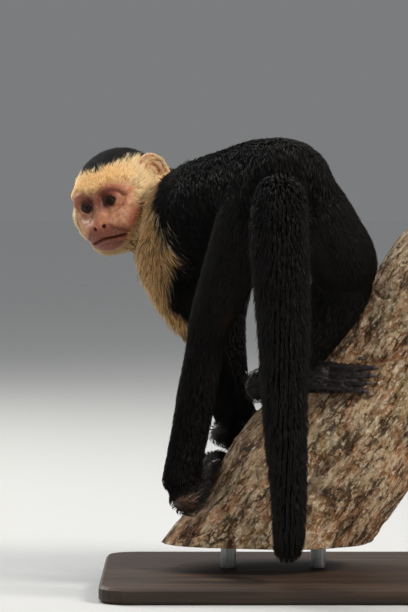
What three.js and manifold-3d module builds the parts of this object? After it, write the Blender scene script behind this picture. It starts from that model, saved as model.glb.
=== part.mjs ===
// A white-faced capuchin monkey as a life-size museum model: it stands on a cut
// length of a sloping branch and looks back over its left shoulder, with its
// tail hanging down behind. The branch is held by two short rods on a flat base.
//
// Millimetres, +Z up. The animal faces +Y and -X, its rump is towards -Y, and
// the origin is at the middle of the base's underside. Every outline is that of
// the coat's tips. Names end in L or R for the animal's own left and right.

import * as THREE from 'three';
import Module from 'manifold-3d';
import { mergeVertices } from 'three/addons/utils/BufferGeometryUtils.js';
import { LoftGeometry } from 'three/addons/geometries/LoftGeometry.js';

const GAP = 0.3;               // clearance between pieces that touch
const LIMB_SIDES = 10;
const TRUNK_SIDES = 14;
const DIGIT_SIDES = 5;
const DOME = [75, 40];         // degrees of latitude of the rings of a domed end

// Branch: a log whose axis climbs towards +X, in the plane at BRANCH_DEPTH.
const BRANCH_DEPTH = 13;
const BRANCH_RADIUS = 73;
const BRANCH_FLARE = 14;       // extra radius at the lower end
const BRANCH_FLARE_LENGTH = 90;
const BRANCH_SIDES = 22;
const BRANCH_ROWS = 10;
const BRANCH_CUT_HEIGHT = 38;  // the lower end is sawn level at this height
const BARK_RELIEF = 1.6;
const WASTE = 600;             // side of the block that saws it

// Display stand.
const BASE_SIZE = { x: 340, y: 300, z: 14 };
const BASE_CORNER = 26;
const BASE_BEVEL = 2.5;
const ROD_RADIUS = 7;
const ROD_SIDES = 16;
const ROD_PLACES = [-58, 22];

// Head: its own frame is x to the animal's right, y to the nose, z up.
const HEAD_CENTRE = [-161, 90, 345];
const HEAD_TURN = { yaw: 156.5, nod: -19, tilt: 17 };
const HEAD_DETAIL = 6;
const EYE = { side: 12.9, forward: 25.2, up: 3.8, radius: 9 };
const SOCKET = { forward: 40.2, reach: 10, flatten: 0.8, heighten: 1.2, depth: 3.2 };
const EAR = { side: 40, back: 15, up: 7.5, height: 18.5, width: 14, lean: 14, flare: 32, sides: 12 };
const EAR_PROFILE = [          // [share of the ear's height out from its middle, forward]
  [0, 1.6], [0.35, 1.9], [0.7, 3.4], [0.95, 6.6], [1.03, 6.2],
  [0.98, 4.2], [0.72, 0.4], [0.35, -1.6], [0, -2],
];
const HEAD_BLEND = 0.24;       // sharpness of the blend between the masses
const HEAD_MASSES = [
  { at: [0, -11, 6.5], size: [39.2, 40, 33.5] }, // braincase and cap
  { at: [0, 18, 14], size: [27, 15, 11] },      // brow
  { at: [0, 16, -8], size: [29, 21, 19] },      // middle of the face
  { at: [0, 35, -19], size: [20.5, 15.5, 12.5] }, // muzzle
  { at: [0, 32, -33], size: [22, 15, 12] },     // chin and beard
  { at: [25, 3, -15], size: [14, 22, 20] },     // right cheek
  { at: [-25, 3, -15], size: [14, 22, 20] },    // left cheek
  { at: [0, -22, -16], size: [31, 26, 27] },    // nape
];

const COAT_BLACK = '#171517';
const COAT_CREAM = '#cdb48a';
const SKIN_EAR = '#c98f80';
const SKIN_PAW = '#3c3334';
const EYE_BROWN = '#1d1210';
const BARK = '#9a7a5c';
const BASE_WOOD = '#3a2c22';
const ROD_STEEL = '#8d8f92';

const wasm = await Module();
wasm.setup();

const capuchin = new THREE.Group();

function addPiece(name, geometry, colour, roughness = 0.8, metalness = 0) {
  const material = new THREE.MeshStandardMaterial({ color: colour, roughness, metalness });
  const mesh = new THREE.Mesh(geometry, material);
  mesh.name = name;
  capuchin.add(mesh);
}

// ---- solids -------------------------------------------------------------

function toSolid(geometry) {
  const bare = new THREE.BufferGeometry().copy(geometry);
  bare.deleteAttribute('normal');
  bare.deleteAttribute('uv');
  const merged = mergeVertices(bare, 1e-4);
  return new wasm.Manifold(new wasm.Mesh({
    numProp: 3,
    vertProperties: new Float32Array(merged.attributes.position.array),
    triVerts: new Uint32Array(merged.index.array),
  }));
}

function toGeometry(solid) {
  const mesh = solid.getMesh();
  const geometry = new THREE.BufferGeometry();
  geometry.setAttribute('position', new THREE.BufferAttribute(mesh.vertProperties, 3));
  geometry.setIndex(new THREE.BufferAttribute(mesh.triVerts, 1));
  return geometry;
}

function join(geometries) {
  return toGeometry(geometries.map(toSolid).reduce((whole, piece) => whole.add(piece)));
}

function cutAway(geometry, neighbours) {
  const cut = neighbours.map(toSolid).reduce((whole, piece) => whole.subtract(piece), toSolid(geometry));
  return toGeometry(cut);
}

function spaced(from, to, steps) {
  return Array.from({ length: steps + 1 }, (_, k) => from + ((to - from) * k) / steps);
}

// A tube of elliptical sections along a smooth curve through its stations.
// A station is [x, y, z, half width, half depth]: the width lies along `side`
// as nearly as the curve allows, the depth at right angles to it. The sections
// lie at `rings`, from 0 to 1 along the curve. An end with a cap length is domed
// by that much, and one with 0 is flat.
function limb(stations, options = {}) {
  const {
    side = [1, 0, 0], caps = [0, 0], sides = LIMB_SIDES, rings = spaced(0, 1, 5), dome = DOME, grow = 0,
  } = options;
  const curve = new THREE.CatmullRomCurve3(stations.map(([x, y, z]) => new THREE.Vector3(x, y, z)));
  const radii = new THREE.CatmullRomCurve3(stations.map(([, , , a, b]) => new THREE.Vector3(a, b ?? a, 0)));
  const across = new THREE.Vector3(...side);
  const sections = [];

  function addSection(where, offset, scale) {
    const along = curve.getUtoTmapping(where);
    const centre = curve.getPoint(along);
    const tangent = curve.getTangent(along);
    const radius = radii.getPoint(along);
    const widthAxis = across.clone().addScaledVector(tangent, -across.dot(tangent)).normalize();
    const depthAxis = tangent.clone().cross(widthAxis);
    centre.addScaledVector(tangent, offset);
    sections.push(Array.from({ length: sides }, (_, k) => {
      const angle = (k / sides) * Math.PI * 2;
      return centre.clone()
        .addScaledVector(widthAxis, Math.cos(angle) * (radius.x * scale + grow))
        .addScaledVector(depthAxis, Math.sin(angle) * (radius.y * scale + grow));
    }));
  }

  const latitudes = dome.map((degrees) => THREE.MathUtils.degToRad(degrees));
  if (caps[0]) {
    latitudes.forEach((a) => addSection(rings[0], -caps[0] * Math.sin(a) - grow, Math.cos(a)));
  }
  rings.forEach((where) => addSection(where, 0, 1));
  if (caps[1]) {
    latitudes.toReversed().forEach((a) => addSection(rings.at(-1), caps[1] * Math.sin(a) + grow, Math.cos(a)));
  }
  return new LoftGeometry(sections, { closed: true, capStart: true, capEnd: true });
}

// ---- branch and stand ---------------------------------------------------

const branchAxis = new THREE.CatmullRomCurve3([
  [-48, -13], [-24, 28], [11, 82], [72, 162], [133, 241], [162, 276],
].map(([x, z]) => new THREE.Vector3(x, BRANCH_DEPTH, z)));
const branchLength = branchAxis.getLength();

function branchRadius(along) {
  return BRANCH_RADIUS + BRANCH_FLARE * Math.exp(-along / BRANCH_FLARE_LENGTH);
}

// A point on the branch: `along` its axis from the lower end, `around` it in
// degrees from its upper left side towards -Y, `above` its surface.
function onBranch(along, around, above) {
  const where = THREE.MathUtils.clamp(along / branchLength, 0, 1);
  const tangent = branchAxis.getTangentAt(where);
  const angle = THREE.MathUtils.degToRad(around);
  const out = new THREE.Vector3(-tangent.z, 0, tangent.x).multiplyScalar(Math.cos(angle));
  out.y -= Math.sin(angle);
  return branchAxis.getPointAt(where).addScaledVector(out, branchRadius(along) + above);
}

function barkRelief(along, angle) {
  const lengthwise = Math.sin(3 * angle + along / 60) + 0.6 * Math.sin(5 * angle - along / 35);
  return BARK_RELIEF * (lengthwise + 0.5 * Math.sin(along / 17 + 2 * angle));
}

function branchBody(grow = 0) {
  const sections = [];
  for (let row = 0; row <= BRANCH_ROWS; row += 1) {
    const along = branchLength * (row / BRANCH_ROWS);
    sections.push(Array.from({ length: BRANCH_SIDES }, (_, k) => {
      const angle = (k / BRANCH_SIDES) * 360;
      return onBranch(along, angle, grow + barkRelief(along, THREE.MathUtils.degToRad(angle)));
    }));
  }
  const log = new LoftGeometry(sections, { closed: true, capStart: true, capEnd: true });
  const waste = new THREE.BoxGeometry(WASTE, WASTE, WASTE);
  waste.translate(0, BRANCH_DEPTH, BRANCH_CUT_HEIGHT - WASTE / 2);
  return cutAway(log, [waste]);
}

function standBase() {
  const w = BASE_SIZE.x / 2 - BASE_BEVEL;
  const d = BASE_SIZE.y / 2 - BASE_BEVEL;
  const r = BASE_CORNER;
  const outline = new THREE.Shape();
  outline.absarc(w - r, d - r, r, 0, Math.PI / 2);
  outline.absarc(r - w, d - r, r, Math.PI / 2, Math.PI);
  outline.absarc(r - w, r - d, r, Math.PI, 1.5 * Math.PI);
  outline.absarc(w - r, r - d, r, 1.5 * Math.PI, 2 * Math.PI);
  const plate = new THREE.ExtrudeGeometry(outline, {
    depth: BASE_SIZE.z - 2 * BASE_BEVEL,
    bevelThickness: BASE_BEVEL,
    bevelSize: BASE_BEVEL,
    bevelSegments: 1,
    curveSegments: 3,
  });
  plate.translate(0, 0, BASE_BEVEL);
  return plate;
}

function standRod(x) {
  const bottom = BASE_SIZE.z + GAP;
  const height = BRANCH_CUT_HEIGHT - GAP - bottom;
  const rod = new THREE.CylinderGeometry(ROD_RADIUS, ROD_RADIUS, height, ROD_SIDES);
  rod.rotateX(Math.PI / 2);
  rod.translate(x, BRANCH_DEPTH, bottom + height / 2);
  return rod;
}

// ---- trunk, neck and tail -----------------------------------------------

const TRUNK = [
  [-9, -116, 356, 40, 38],
  [-12, -90, 353, 45, 45],
  [-30, -50, 352, 42, 45],
  [-48, -10, 345, 40, 46],
  [-73, 36, 330, 44, 54],
  [-94, 68, 314, 45, 59],
  [-110, 92, 304, 39, 51],
  [-120, 106, 304, 30, 38],
];
const TRUNK_JOINTS = [0, 0.26, 0.55, 1];
const TRUNK_RINGS = 5;         // in each length of the trunk
const TRUNK_CAPS = [24, 14];
const TRUNK_OPTIONS = { side: [1, 0.45, 0.15], sides: TRUNK_SIDES };

function trunkBody(grow) {
  const rings = TRUNK_JOINTS.slice(1).flatMap((to, i) => spaced(TRUNK_JOINTS[i], to, TRUNK_RINGS).slice(i ? 1 : 0));
  return limb(TRUNK, { ...TRUNK_OPTIONS, rings, caps: TRUNK_CAPS, grow });
}

// The share of a curve through the stations that half the gap takes.
function halfGap(stations) {
  const curve = new THREE.CatmullRomCurve3(stations.map(([x, y, z]) => new THREE.Vector3(x, y, z)));
  return GAP / 2 / curve.getLength();
}

function trunkLength(index) {
  const last = TRUNK_JOINTS.length - 2;
  const from = TRUNK_JOINTS[index] + (index > 0 ? halfGap(TRUNK) : 0);
  const to = TRUNK_JOINTS[index + 1] - (index < last ? halfGap(TRUNK) : 0);
  const caps = [index > 0 ? 0 : TRUNK_CAPS[0], index < last ? 0 : TRUNK_CAPS[1]];
  return limb(TRUNK, { ...TRUNK_OPTIONS, rings: spaced(from, to, TRUNK_RINGS), caps });
}

const NECK = [
  [-98, 90, 324, 38, 42],
  [-113, 102, 332, 35, 38],
  [-128, 104, 339, 33, 35],
  [-143, 98, 343, 31, 32],
];

function neckBody(grow = 0) {
  return limb(NECK, { side: [0.3, 0.9, 0.2], caps: [10, 0], grow });
}

const TAIL = [
  [-12, -106, 350, 26],
  [-14.5, -136, 350, 27],
  [-16.5, -157, 328, 27.5],
  [-16, -166, 290, 27.5],
  [-13, -169, 235, 25],
  [-12.5, -168, 184, 22.5],
  [-11, -165, 138, 20.5],
  [-9, -161, 105, 18.5],
  [-8, -154, 72, 17],
  [-8, -138, 50, 15.5],
  [-9, -112, 44, 14],
  [-11, -90, 57, 12],
];
const TAIL_JOINTS = [0, 0.3, 0.54, 0.78, 1];
const TAIL_RINGS = 5;
const TAIL_TIP = 12;

function tailLength(index, grow = 0) {
  const last = TAIL_JOINTS.length - 2;
  const from = TAIL_JOINTS[index] + (index > 0 ? halfGap(TAIL) : 0);
  const to = TAIL_JOINTS[index + 1] - (index < last ? halfGap(TAIL) : 0);
  return limb(TAIL, { rings: spaced(from, to, TAIL_RINGS), caps: [0, index < last ? 0 : TAIL_TIP], grow });
}

// ---- head ---------------------------------------------------------------

const headFrame = new THREE.Matrix4().makeRotationFromEuler(new THREE.Euler(
  THREE.MathUtils.degToRad(HEAD_TURN.nod),
  THREE.MathUtils.degToRad(HEAD_TURN.tilt),
  THREE.MathUtils.degToRad(HEAD_TURN.yaw),
  'ZXY',
)).setPosition(...HEAD_CENTRE);

// Distance, roughly, from a point to the blended masses: negative inside.
function headField(point) {
  let sum = 0;
  HEAD_MASSES.forEach(({ at, size }) => {
    const reach = Math.hypot(...size.map((s, i) => (point.getComponent(i) - at[i]) / s));
    sum += Math.exp(-HEAD_BLEND * (reach - 1) * Math.min(...size));
  });
  let distance = -Math.log(sum) / HEAD_BLEND;
  [-1, 1].forEach((s) => {
    const toSocket = Math.hypot(
      point.x - s * EYE.side,
      (point.y - SOCKET.forward) * SOCKET.flatten,
      (point.z - EYE.up) * SOCKET.heighten,
    );
    distance += SOCKET.depth * Math.exp(-((toSocket / SOCKET.reach) ** 2));
  });
  return distance;
}

// The head: each vertex of a fine ball is moved out to where the field is zero.
function headBody(grow = 0) {
  const ball = new THREE.IcosahedronGeometry(1, HEAD_DETAIL);
  const vertices = ball.attributes.position;
  const direction = new THREE.Vector3();
  for (let i = 0; i < vertices.count; i += 1) {
    direction.fromBufferAttribute(vertices, i).normalize();
    let inside = 5;
    let outside = 80;
    for (let step = 0; step < 24; step += 1) {
      const middle = (inside + outside) / 2;
      if (headField(direction.clone().multiplyScalar(middle)) < 0) inside = middle;
      else outside = middle;
    }
    vertices.setXYZ(i, ...direction.multiplyScalar(inside + grow).toArray());
  }
  ball.applyMatrix4(headFrame);
  return ball;
}

function eyeBall(s, grow = 0) {
  const ball = new THREE.IcosahedronGeometry(EYE.radius + grow, 2);
  ball.translate(s * EYE.side, EYE.forward, EYE.up);
  ball.applyMatrix4(headFrame);
  return ball;
}

// An ear: a thin oval cup, hollow towards the front and side.
function ear(s) {
  const profile = EAR_PROFILE.map(([out, forward]) => new THREE.Vector2(out * EAR.height, forward));
  const cup = new THREE.LatheGeometry(profile.toReversed(), EAR.sides);
  const stretch = EAR.width / EAR.height;
  cup.scale(stretch, 1, 1);
  cup.rotateX(THREE.MathUtils.degToRad(EAR.lean));
  cup.rotateZ(THREE.MathUtils.degToRad(-s * (90 - EAR.flare)));
  cup.translate(s * EAR.side, -EAR.back, EAR.up);
  cup.applyMatrix4(headFrame);
  return cup;
}

// ---- limbs --------------------------------------------------------------

const THIGH_L = [
  [-24, -88, 350, 30, 34],
  [-38, -82, 328, 32, 37],
  [-55, -65, 286, 26, 33],
  [-70, -50, 248, 22, 27],
  [-79, -41, 222, 18, 21],
];
const SHANK_L = [
  [-74, -42, 236, 17, 20],
  [-80, -39, 205, 18, 22],
  [-87, -35, 168, 19, 20],
  [-93, -32, 132, 18, 17],
  [-100, -32, 103, 17.5, 17],
  [-101.5, -32, 92, 17, 17],
];
const THIGH_R = [
  [1, -102, 350, 30, 34],
  [14, -102, 332, 31, 36],
  [32, -72, 307, 29, 35],
  [47, -44, 290, 26, 30],
  [55, -26, 280, 21, 22],
];
const SHANK_R = [
  [52, -34, 288, 20, 20],
  [41, -30, 262, 28, 27],
  [27, -32, 236, 25, 25],
  [10, -38, 211, 18, 19],
  [-5, -42, 191, 14, 15],
];
const UPPER_ARM_L = [
  [-94, 46, 350, 22, 26],
  [-115, 54, 318, 27, 30],
  [-112, 63, 282, 26, 28],
  [-99, 68, 251, 22, 24],
  [-85, 71, 224, 18, 18],
];
const FOREARM_L = [
  [-85, 71, 234, 17, 17],
  [-76, 64, 205, 18, 17],
  [-67, 54, 175, 17, 16],
  [-58, 41, 146, 12, 12],
];
const UPPER_ARM_R = [
  [-60, 88, 344, 22, 26],
  [-50, 104, 318, 24, 28],
  [-49, 116, 284, 20, 22],
  [-55, 122, 242, 17, 17],
];
const FOREARM_R = [
  [-54, 121, 250, 15, 15],
  [-56, 113, 216, 16.5, 16],
  [-53, 98, 180, 15, 15],
  [-44, 81, 147, 12, 12],
];

// A hand or foot on the branch. The sole runs through [along, around, above]
// stations with half widths and half thicknesses, then five digits fan out
// from its front: each has its root and tip on the branch and a radius.
function paw({ sole, digits, side }, grow = 0) {
  const place = ([along, around, above, ...sizes]) => [...onBranch(along, around, above).toArray(), ...sizes];
  const palm = limb(sole.map(place), { side, caps: [9, 6], sides: 9, rings: spaced(0, 1, 4), grow });
  const fingers = digits.map(({ root, knuckle, tip, radius }) => limb([
    place([...root, radius * 1.05, radius]),
    place([...knuckle, radius, radius * 0.95]),
    place([...tip, radius * 0.8, radius * 0.7]),
  ], { side, caps: [0, radius * 1.3], sides: DIGIT_SIDES, rings: spaced(0, 1, 2), dome: [50], grow }));
  return join([palm, ...fingers]);
}

// Spreads four like digits evenly between the first and the last one.
function fan(first, last) {
  const mix = (a, b, t) => a.map((value, i) => value + (b[i] - value) * t);
  return [0, 1, 2, 3].map((k) => ({
    root: mix(first.root, last.root, k / 3),
    knuckle: mix(first.knuckle, last.knuckle, k / 3),
    tip: mix(first.tip, last.tip, k / 3),
    radius: first.radius,
  }));
}

const FOOT_L = {
  side: [0.6, 0, 0.8],
  sole: [[51, 29, 20, 16, 15], [63, 25, 17, 14, 15], [75, 14, 10, 14, 10], [85, -3, 8.5, 14, 7.5]],
  digits: [
    ...fan(
      { root: [74, -6, 8], knuckle: [76, -22, 7.5], tip: [79, -38, 4], radius: 4.2 },
      { root: [93, -4, 8], knuckle: [96, -18, 7.5], tip: [98, -32, 4] },
    ),
    { root: [82, 12, 9], knuckle: [100, 22, 7.5], tip: [112, 31, 4], radius: 4.4 },
  ],
};
const FOOT_R = {
  side: [0, 0.2, 1],
  sole: [[158, 21, 25, 13, 13], [174, 27, 21, 13, 13], [190, 37, 13, 13, 11], [203, 50, 9.5, 14, 8]],
  digits: [
    ...fan(
      { root: [195, 54, 8], knuckle: [207, 66, 8], tip: [215, 75, 4], radius: 3.9 },
      { root: [211, 45, 8.5], knuckle: [224, 59, 8], tip: [236, 71, 4] },
    ),
    { root: [206, 41, 9], knuckle: [223, 49, 8.5], tip: [235, 60, 4], radius: 4.2 },
  ],
};
const HAND_L = {
  side: [0.6, 0, 0.8],
  sole: [[110, -14, 18, 11, 10], [112, -23, 11, 12, 9], [114, -37, 8, 13, 7]],
  digits: [
    ...fan(
      { root: [105, -39, 7.5], knuckle: [105, -53, 7.5], tip: [105, -67, 4], radius: 4 },
      { root: [122, -37, 7.5], knuckle: [122, -48, 7.5], tip: [121, -60, 4] },
    ),
    { root: [117, -19, 7.5], knuckle: [127, -15, 7], tip: [136, -15, 4], radius: 4 },
  ],
};
const HAND_R = {
  side: [0.6, 0, 0.8],
  sole: [[130, -43, 20, 11, 10], [139, -53, 12, 12, 9], [147, -67, 8, 13, 7]],
  digits: [
    ...fan(
      { root: [139, -72, 7.5], knuckle: [142, -85, 7.5], tip: [145, -99, 4], radius: 4 },
      { root: [156, -66, 7.5], knuckle: [163, -77, 7.5], tip: [170, -89, 4] },
    ),
    { root: [147, -52, 7.5], knuckle: [158, -50, 7], tip: [167, -50, 4], radius: 4 },
  ],
};

// ---- assembly -----------------------------------------------------------

const branchClear = branchBody(GAP);
const headClear = headBody(GAP);
const trunkClear = trunkBody(GAP);
const neckClear = neckBody(GAP);

addPiece('stand_base', standBase(), BASE_WOOD, 0.45);
ROD_PLACES.forEach((x, i) => addPiece(`stand_rod_${i + 1}`, standRod(x), ROD_STEEL, 0.3, 1));
addPiece('branch', branchBody(), BARK, 0.95);

addPiece('head', cutAway(headBody(), [eyeBall(-1, GAP), eyeBall(1, GAP)]), COAT_CREAM);
addPiece('eye_L', eyeBall(-1), EYE_BROWN, 0.1);
addPiece('eye_R', eyeBall(1), EYE_BROWN, 0.1);
addPiece('ear_L', cutAway(ear(-1), [headClear, neckClear, trunkClear]), SKIN_EAR);
addPiece('ear_R', cutAway(ear(1), [headClear, neckClear, trunkClear]), SKIN_EAR);

addPiece('neck', cutAway(neckBody(), [headClear, trunkClear]), COAT_CREAM);
addPiece('trunk_rump', trunkLength(0), COAT_BLACK);
addPiece('trunk_loin', trunkLength(1), COAT_BLACK);
addPiece('trunk_chest', cutAway(trunkLength(2), [headClear]), COAT_BLACK);

for (let index = 0; index < TAIL_JOINTS.length - 1; index += 1) {
  const length = tailLength(index);
  const whole = index ? length : cutAway(length, [trunkClear]);
  addPiece(`tail_${index + 1}`, whole, COAT_BLACK);
}

// A leg or an arm: the upper part meets the body, the lower part the upper one,
// and the foot or hand the lower one, the branch and the paws placed before it.
function addLimb(side, names, upper, lower, spec, colour, { across, paws = [] }) {
  const body = [trunkClear, tailLength(0, GAP), neckClear, headClear, branchClear];
  const upperPart = (grow) => limb(upper, { side: across, caps: [10, 12], grow });
  const lowerPart = (grow) => limb(lower, { side: across, caps: [12, 10], grow });
  const neighbours = paws.map((other) => paw(other, GAP));
  addPiece(`${names[0]}_${side}`, cutAway(upperPart(0), body), colour);
  addPiece(`${names[1]}_${side}`, cutAway(lowerPart(0), [upperPart(GAP), ...body]), COAT_BLACK);
  addPiece(`${names[2]}_${side}`, cutAway(paw(spec), [lowerPart(GAP), branchClear, ...neighbours]), SKIN_PAW);
}

const LEG = ['thigh', 'shank', 'foot'];
const ARM = ['upper_arm', 'forearm', 'hand'];
addLimb('L', LEG, THIGH_L, SHANK_L, FOOT_L, COAT_BLACK, { across: [1, -0.3, 0] });
addLimb('R', LEG, THIGH_R, SHANK_R, FOOT_R, COAT_BLACK, { across: [1, -0.3, 0] });
addLimb('L', ARM, UPPER_ARM_L, FOREARM_L, HAND_L, COAT_CREAM, { across: [1, 0, 0], paws: [FOOT_L] });
addLimb('R', ARM, UPPER_ARM_R, FOREARM_R, HAND_R, COAT_CREAM, { across: [1, 0, 0], paws: [HAND_L] });

export default capuchin;
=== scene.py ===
"""A white-faced capuchin on a branch, life size: skin, eyes, nails, coat, bark and stand.

Lengths in the tables are in millimetres, and everything is made in the row's frame: +Z up, with
the rump towards -Y, where the camera is. The head has a frame of its own: x to the animal's
right, y to the nose, z up.
"""

import math
from itertools import product

import bpy
import numpy as np
import openvdb
from mathutils import Matrix, Vector
from mathutils.kdtree import KDTree


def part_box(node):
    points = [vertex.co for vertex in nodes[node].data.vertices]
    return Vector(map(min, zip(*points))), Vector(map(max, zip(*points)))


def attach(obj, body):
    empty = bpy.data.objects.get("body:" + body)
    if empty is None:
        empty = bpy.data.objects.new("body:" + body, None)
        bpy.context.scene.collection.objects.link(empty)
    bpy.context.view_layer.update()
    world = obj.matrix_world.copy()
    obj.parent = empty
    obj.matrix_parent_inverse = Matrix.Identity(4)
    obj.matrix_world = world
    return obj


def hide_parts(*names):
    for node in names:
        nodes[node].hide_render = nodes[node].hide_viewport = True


MM = 0.001
SEED = 7
rng = np.random.default_rng(SEED)

# ---- the CAD model's own numbers --------------------------------------------

HEAD_CENTRE = np.array([-161.0, 90.0, 345.0])
HEAD_TURN = {"yaw": 156.5, "nod": -19, "tilt": 17}
EYE = {"side": 12.9, "forward": 25.2, "up": 3.8, "radius": 9.0}
EAR = {"side": 40, "back": 15, "up": 7.5, "height": 18.5, "width": 14, "lean": 14, "flare": 32}
BRANCH = {"radius": 73, "flare": 14, "flare_length": 90, "cut_height": 38, "relief": 1.6}
BRANCH_AXIS = [[-48, 13, -13], [-24, 13, 28], [11, 13, 82], [72, 13, 162], [133, 13, 241], [162, 13, 276]]

# Each limb: which way the coat lies along its stations, how deep the coat is and how long its hair
# at the first and the last station, and the stations: [x, y, z, half width, half depth].
LIMBS = {
    "trunk": (-1, [7, 7], [27, 22], [
        [-9, -116, 356, 40, 38], [-12, -90, 353, 45, 45], [-30, -50, 352, 42, 45],
        [-48, -10, 345, 40, 46], [-73, 36, 330, 44, 54], [-94, 68, 314, 45, 59],
        [-110, 92, 304, 39, 51], [-120, 106, 304, 30, 38],
    ]),
    "neck": (-1, [7, 6], [14, 11], [
        [-98, 90, 324, 38, 42], [-113, 102, 332, 35, 38], [-128, 104, 339, 33, 35],
        [-143, 98, 343, 31, 32],
    ]),
    "tail": (1, [12, 7], [20, 13], [
        [-12, -106, 350, 26], [-14.5, -136, 350, 27], [-16.5, -157, 328, 27.5],
        [-16, -166, 290, 27.5], [-13, -169, 235, 25], [-12.5, -168, 184, 22.5],
        [-11, -165, 138, 20.5], [-9, -161, 105, 18.5], [-8, -154, 72, 17], [-8, -138, 50, 15.5],
        [-9, -112, 44, 14], [-11, -90, 57, 12],
    ]),
    "thigh_L": (1, [7, 6], [23, 18], [
        [-24, -88, 350, 30, 34], [-38, -82, 328, 32, 37], [-55, -65, 286, 26, 33],
        [-70, -50, 248, 22, 27], [-79, -41, 222, 18, 21],
    ]),
    "shank_L": (1, [6, 4], [18, 9], [
        [-74, -42, 236, 17, 20], [-80, -39, 205, 18, 22], [-87, -35, 168, 19, 20],
        [-93, -32, 132, 18, 17], [-100, -32, 103, 17.5, 17], [-101.5, -32, 92, 17, 17],
    ]),
    "thigh_R": (1, [7, 6], [23, 18], [
        [1, -102, 350, 30, 34], [14, -102, 332, 31, 36], [32, -72, 307, 29, 35],
        [47, -44, 290, 26, 30], [55, -26, 280, 21, 22],
    ]),
    "shank_R": (1, [6, 3], [18, 8], [
        [52, -34, 288, 20, 20], [41, -30, 262, 28, 27], [27, -32, 236, 25, 25],
        [10, -38, 211, 18, 19], [-5, -42, 191, 14, 15],
    ]),
    "upper_arm_L": (1, [7, 6], [13, 14], [
        [-94, 46, 350, 22, 26], [-115, 54, 318, 27, 30], [-112, 63, 282, 26, 28],
        [-99, 68, 251, 22, 24], [-85, 71, 224, 18, 18],
    ]),
    "forearm_L": (1, [6, 2.5], [14, 6], [
        [-85, 71, 234, 17, 17], [-76, 64, 205, 18, 17], [-67, 54, 175, 17, 16],
        [-58, 41, 146, 12, 12],
    ]),
    "upper_arm_R": (1, [7, 6], [13, 14], [
        [-60, 88, 344, 22, 26], [-50, 104, 318, 24, 28], [-49, 116, 284, 20, 22],
        [-55, 122, 242, 17, 17],
    ]),
    "forearm_R": (1, [6, 2.5], [14, 7], [
        [-54, 121, 250, 15, 15], [-56, 113, 216, 16.5, 16], [-53, 98, 180, 15, 15],
        [-44, 81, 147, 12, 12],
    ]),
}

# Each hand or foot: the middle line of its sole, and the first and last of its four like
# digits and its thumb or great toe, all as [along the branch, degrees round it, above it].
PAWS = {
    "foot_L": {
        "sole": [[51, 29, 20], [63, 25, 17], [75, 14, 10], [85, -3, 8.5]],
        "fan": [
            [[74, -6, 8], [76, -22, 7.5], [79, -38, 4]],
            [[93, -4, 8], [96, -18, 7.5], [98, -32, 4]],
        ],
        "thumb": [[82, 12, 9], [100, 22, 7.5], [112, 31, 4]],
        "radius": 4.2,
    },
    "foot_R": {
        "sole": [[158, 21, 25], [174, 27, 21], [190, 37, 13], [203, 50, 9.5]],
        "fan": [
            [[195, 54, 8], [207, 66, 8], [215, 75, 4]],
            [[211, 45, 8.5], [224, 59, 8], [236, 71, 4]],
        ],
        "thumb": [[206, 41, 9], [223, 49, 8.5], [235, 60, 4]],
        "radius": 3.9,
    },
    "hand_L": {
        "sole": [[110, -14, 18], [112, -23, 11], [114, -37, 8]],
        "fan": [
            [[105, -39, 7.5], [105, -53, 7.5], [105, -67, 4]],
            [[122, -37, 7.5], [122, -48, 7.5], [121, -60, 4]],
        ],
        "thumb": [[117, -19, 7.5], [127, -15, 7], [136, -15, 4]],
        "radius": 4.0,
    },
    "hand_R": {
        "sole": [[130, -43, 20], [139, -53, 12], [147, -67, 8]],
        "fan": [
            [[139, -72, 7.5], [142, -85, 7.5], [145, -99, 4]],
            [[156, -66, 7.5], [163, -77, 7.5], [170, -89, 4]],
        ],
        "thumb": [[147, -52, 7.5], [158, -50, 7], [167, -50, 4]],
        "radius": 4.0,
    },
}


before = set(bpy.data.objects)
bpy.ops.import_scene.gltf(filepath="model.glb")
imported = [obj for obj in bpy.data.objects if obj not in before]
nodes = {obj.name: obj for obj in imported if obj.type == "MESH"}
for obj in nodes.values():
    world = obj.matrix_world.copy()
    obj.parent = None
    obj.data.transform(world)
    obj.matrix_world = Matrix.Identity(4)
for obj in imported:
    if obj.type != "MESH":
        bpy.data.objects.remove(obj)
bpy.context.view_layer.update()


# ---- curves and blends ------------------------------------------------------

def unit(vectors):
    return vectors / np.maximum(np.linalg.norm(vectors, axis=-1, keepdims=True), 1e-9)


def mix(a, b, share):
    return a * (1 - share) + b * share


def smoothstep(low, high, value):
    t = np.clip((value - low) / (high - low), 0, 1)
    return t * t * (3 - 2 * t)


def hump(value, middle, width):
    return np.exp(-(((value - middle) / width) ** 2))


def spot(across, up, at, size):
    """A soft oval: 1 at its middle."""
    return hump(across, at[0], size[0]) * hump(up, at[1], size[1])


def smooth_curve(points, count):
    """count rows on the centripetal Catmull-Rom curve through the points. Columns past the
    third, such as radii, go along with the place."""
    points = np.array(points, float)
    ends = [2 * points[0] - points[1], 2 * points[-1] - points[-2]]
    padded = np.vstack([ends[0], points, ends[1]])
    where = np.linspace(0, len(points) - 1, count)
    segment = np.minimum(where.astype(int), len(points) - 2)
    share = (where - segment)[:, None]
    a, b, c, d = (padded[segment + k] for k in range(4))

    def knot(p, q):
        return np.sqrt(np.maximum(np.linalg.norm(q[:, :3] - p[:, :3], axis=1), 1e-4))[:, None]

    before, here, after = knot(a, b), knot(b, c), knot(c, d)
    start = ((b - a) / before - (c - a) / (before + here) + (c - b) / here) * here
    end = ((c - b) / here - (d - b) / (here + after) + (d - c) / after) * here
    square = (-3 * b + 3 * c - 2 * start - end) * share**2
    cube = (2 * b - 2 * c + start + end) * share**3
    return b + start * share + square + cube


def tangents(curve):
    return unit(np.gradient(curve[:, :3], axis=0))


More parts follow.
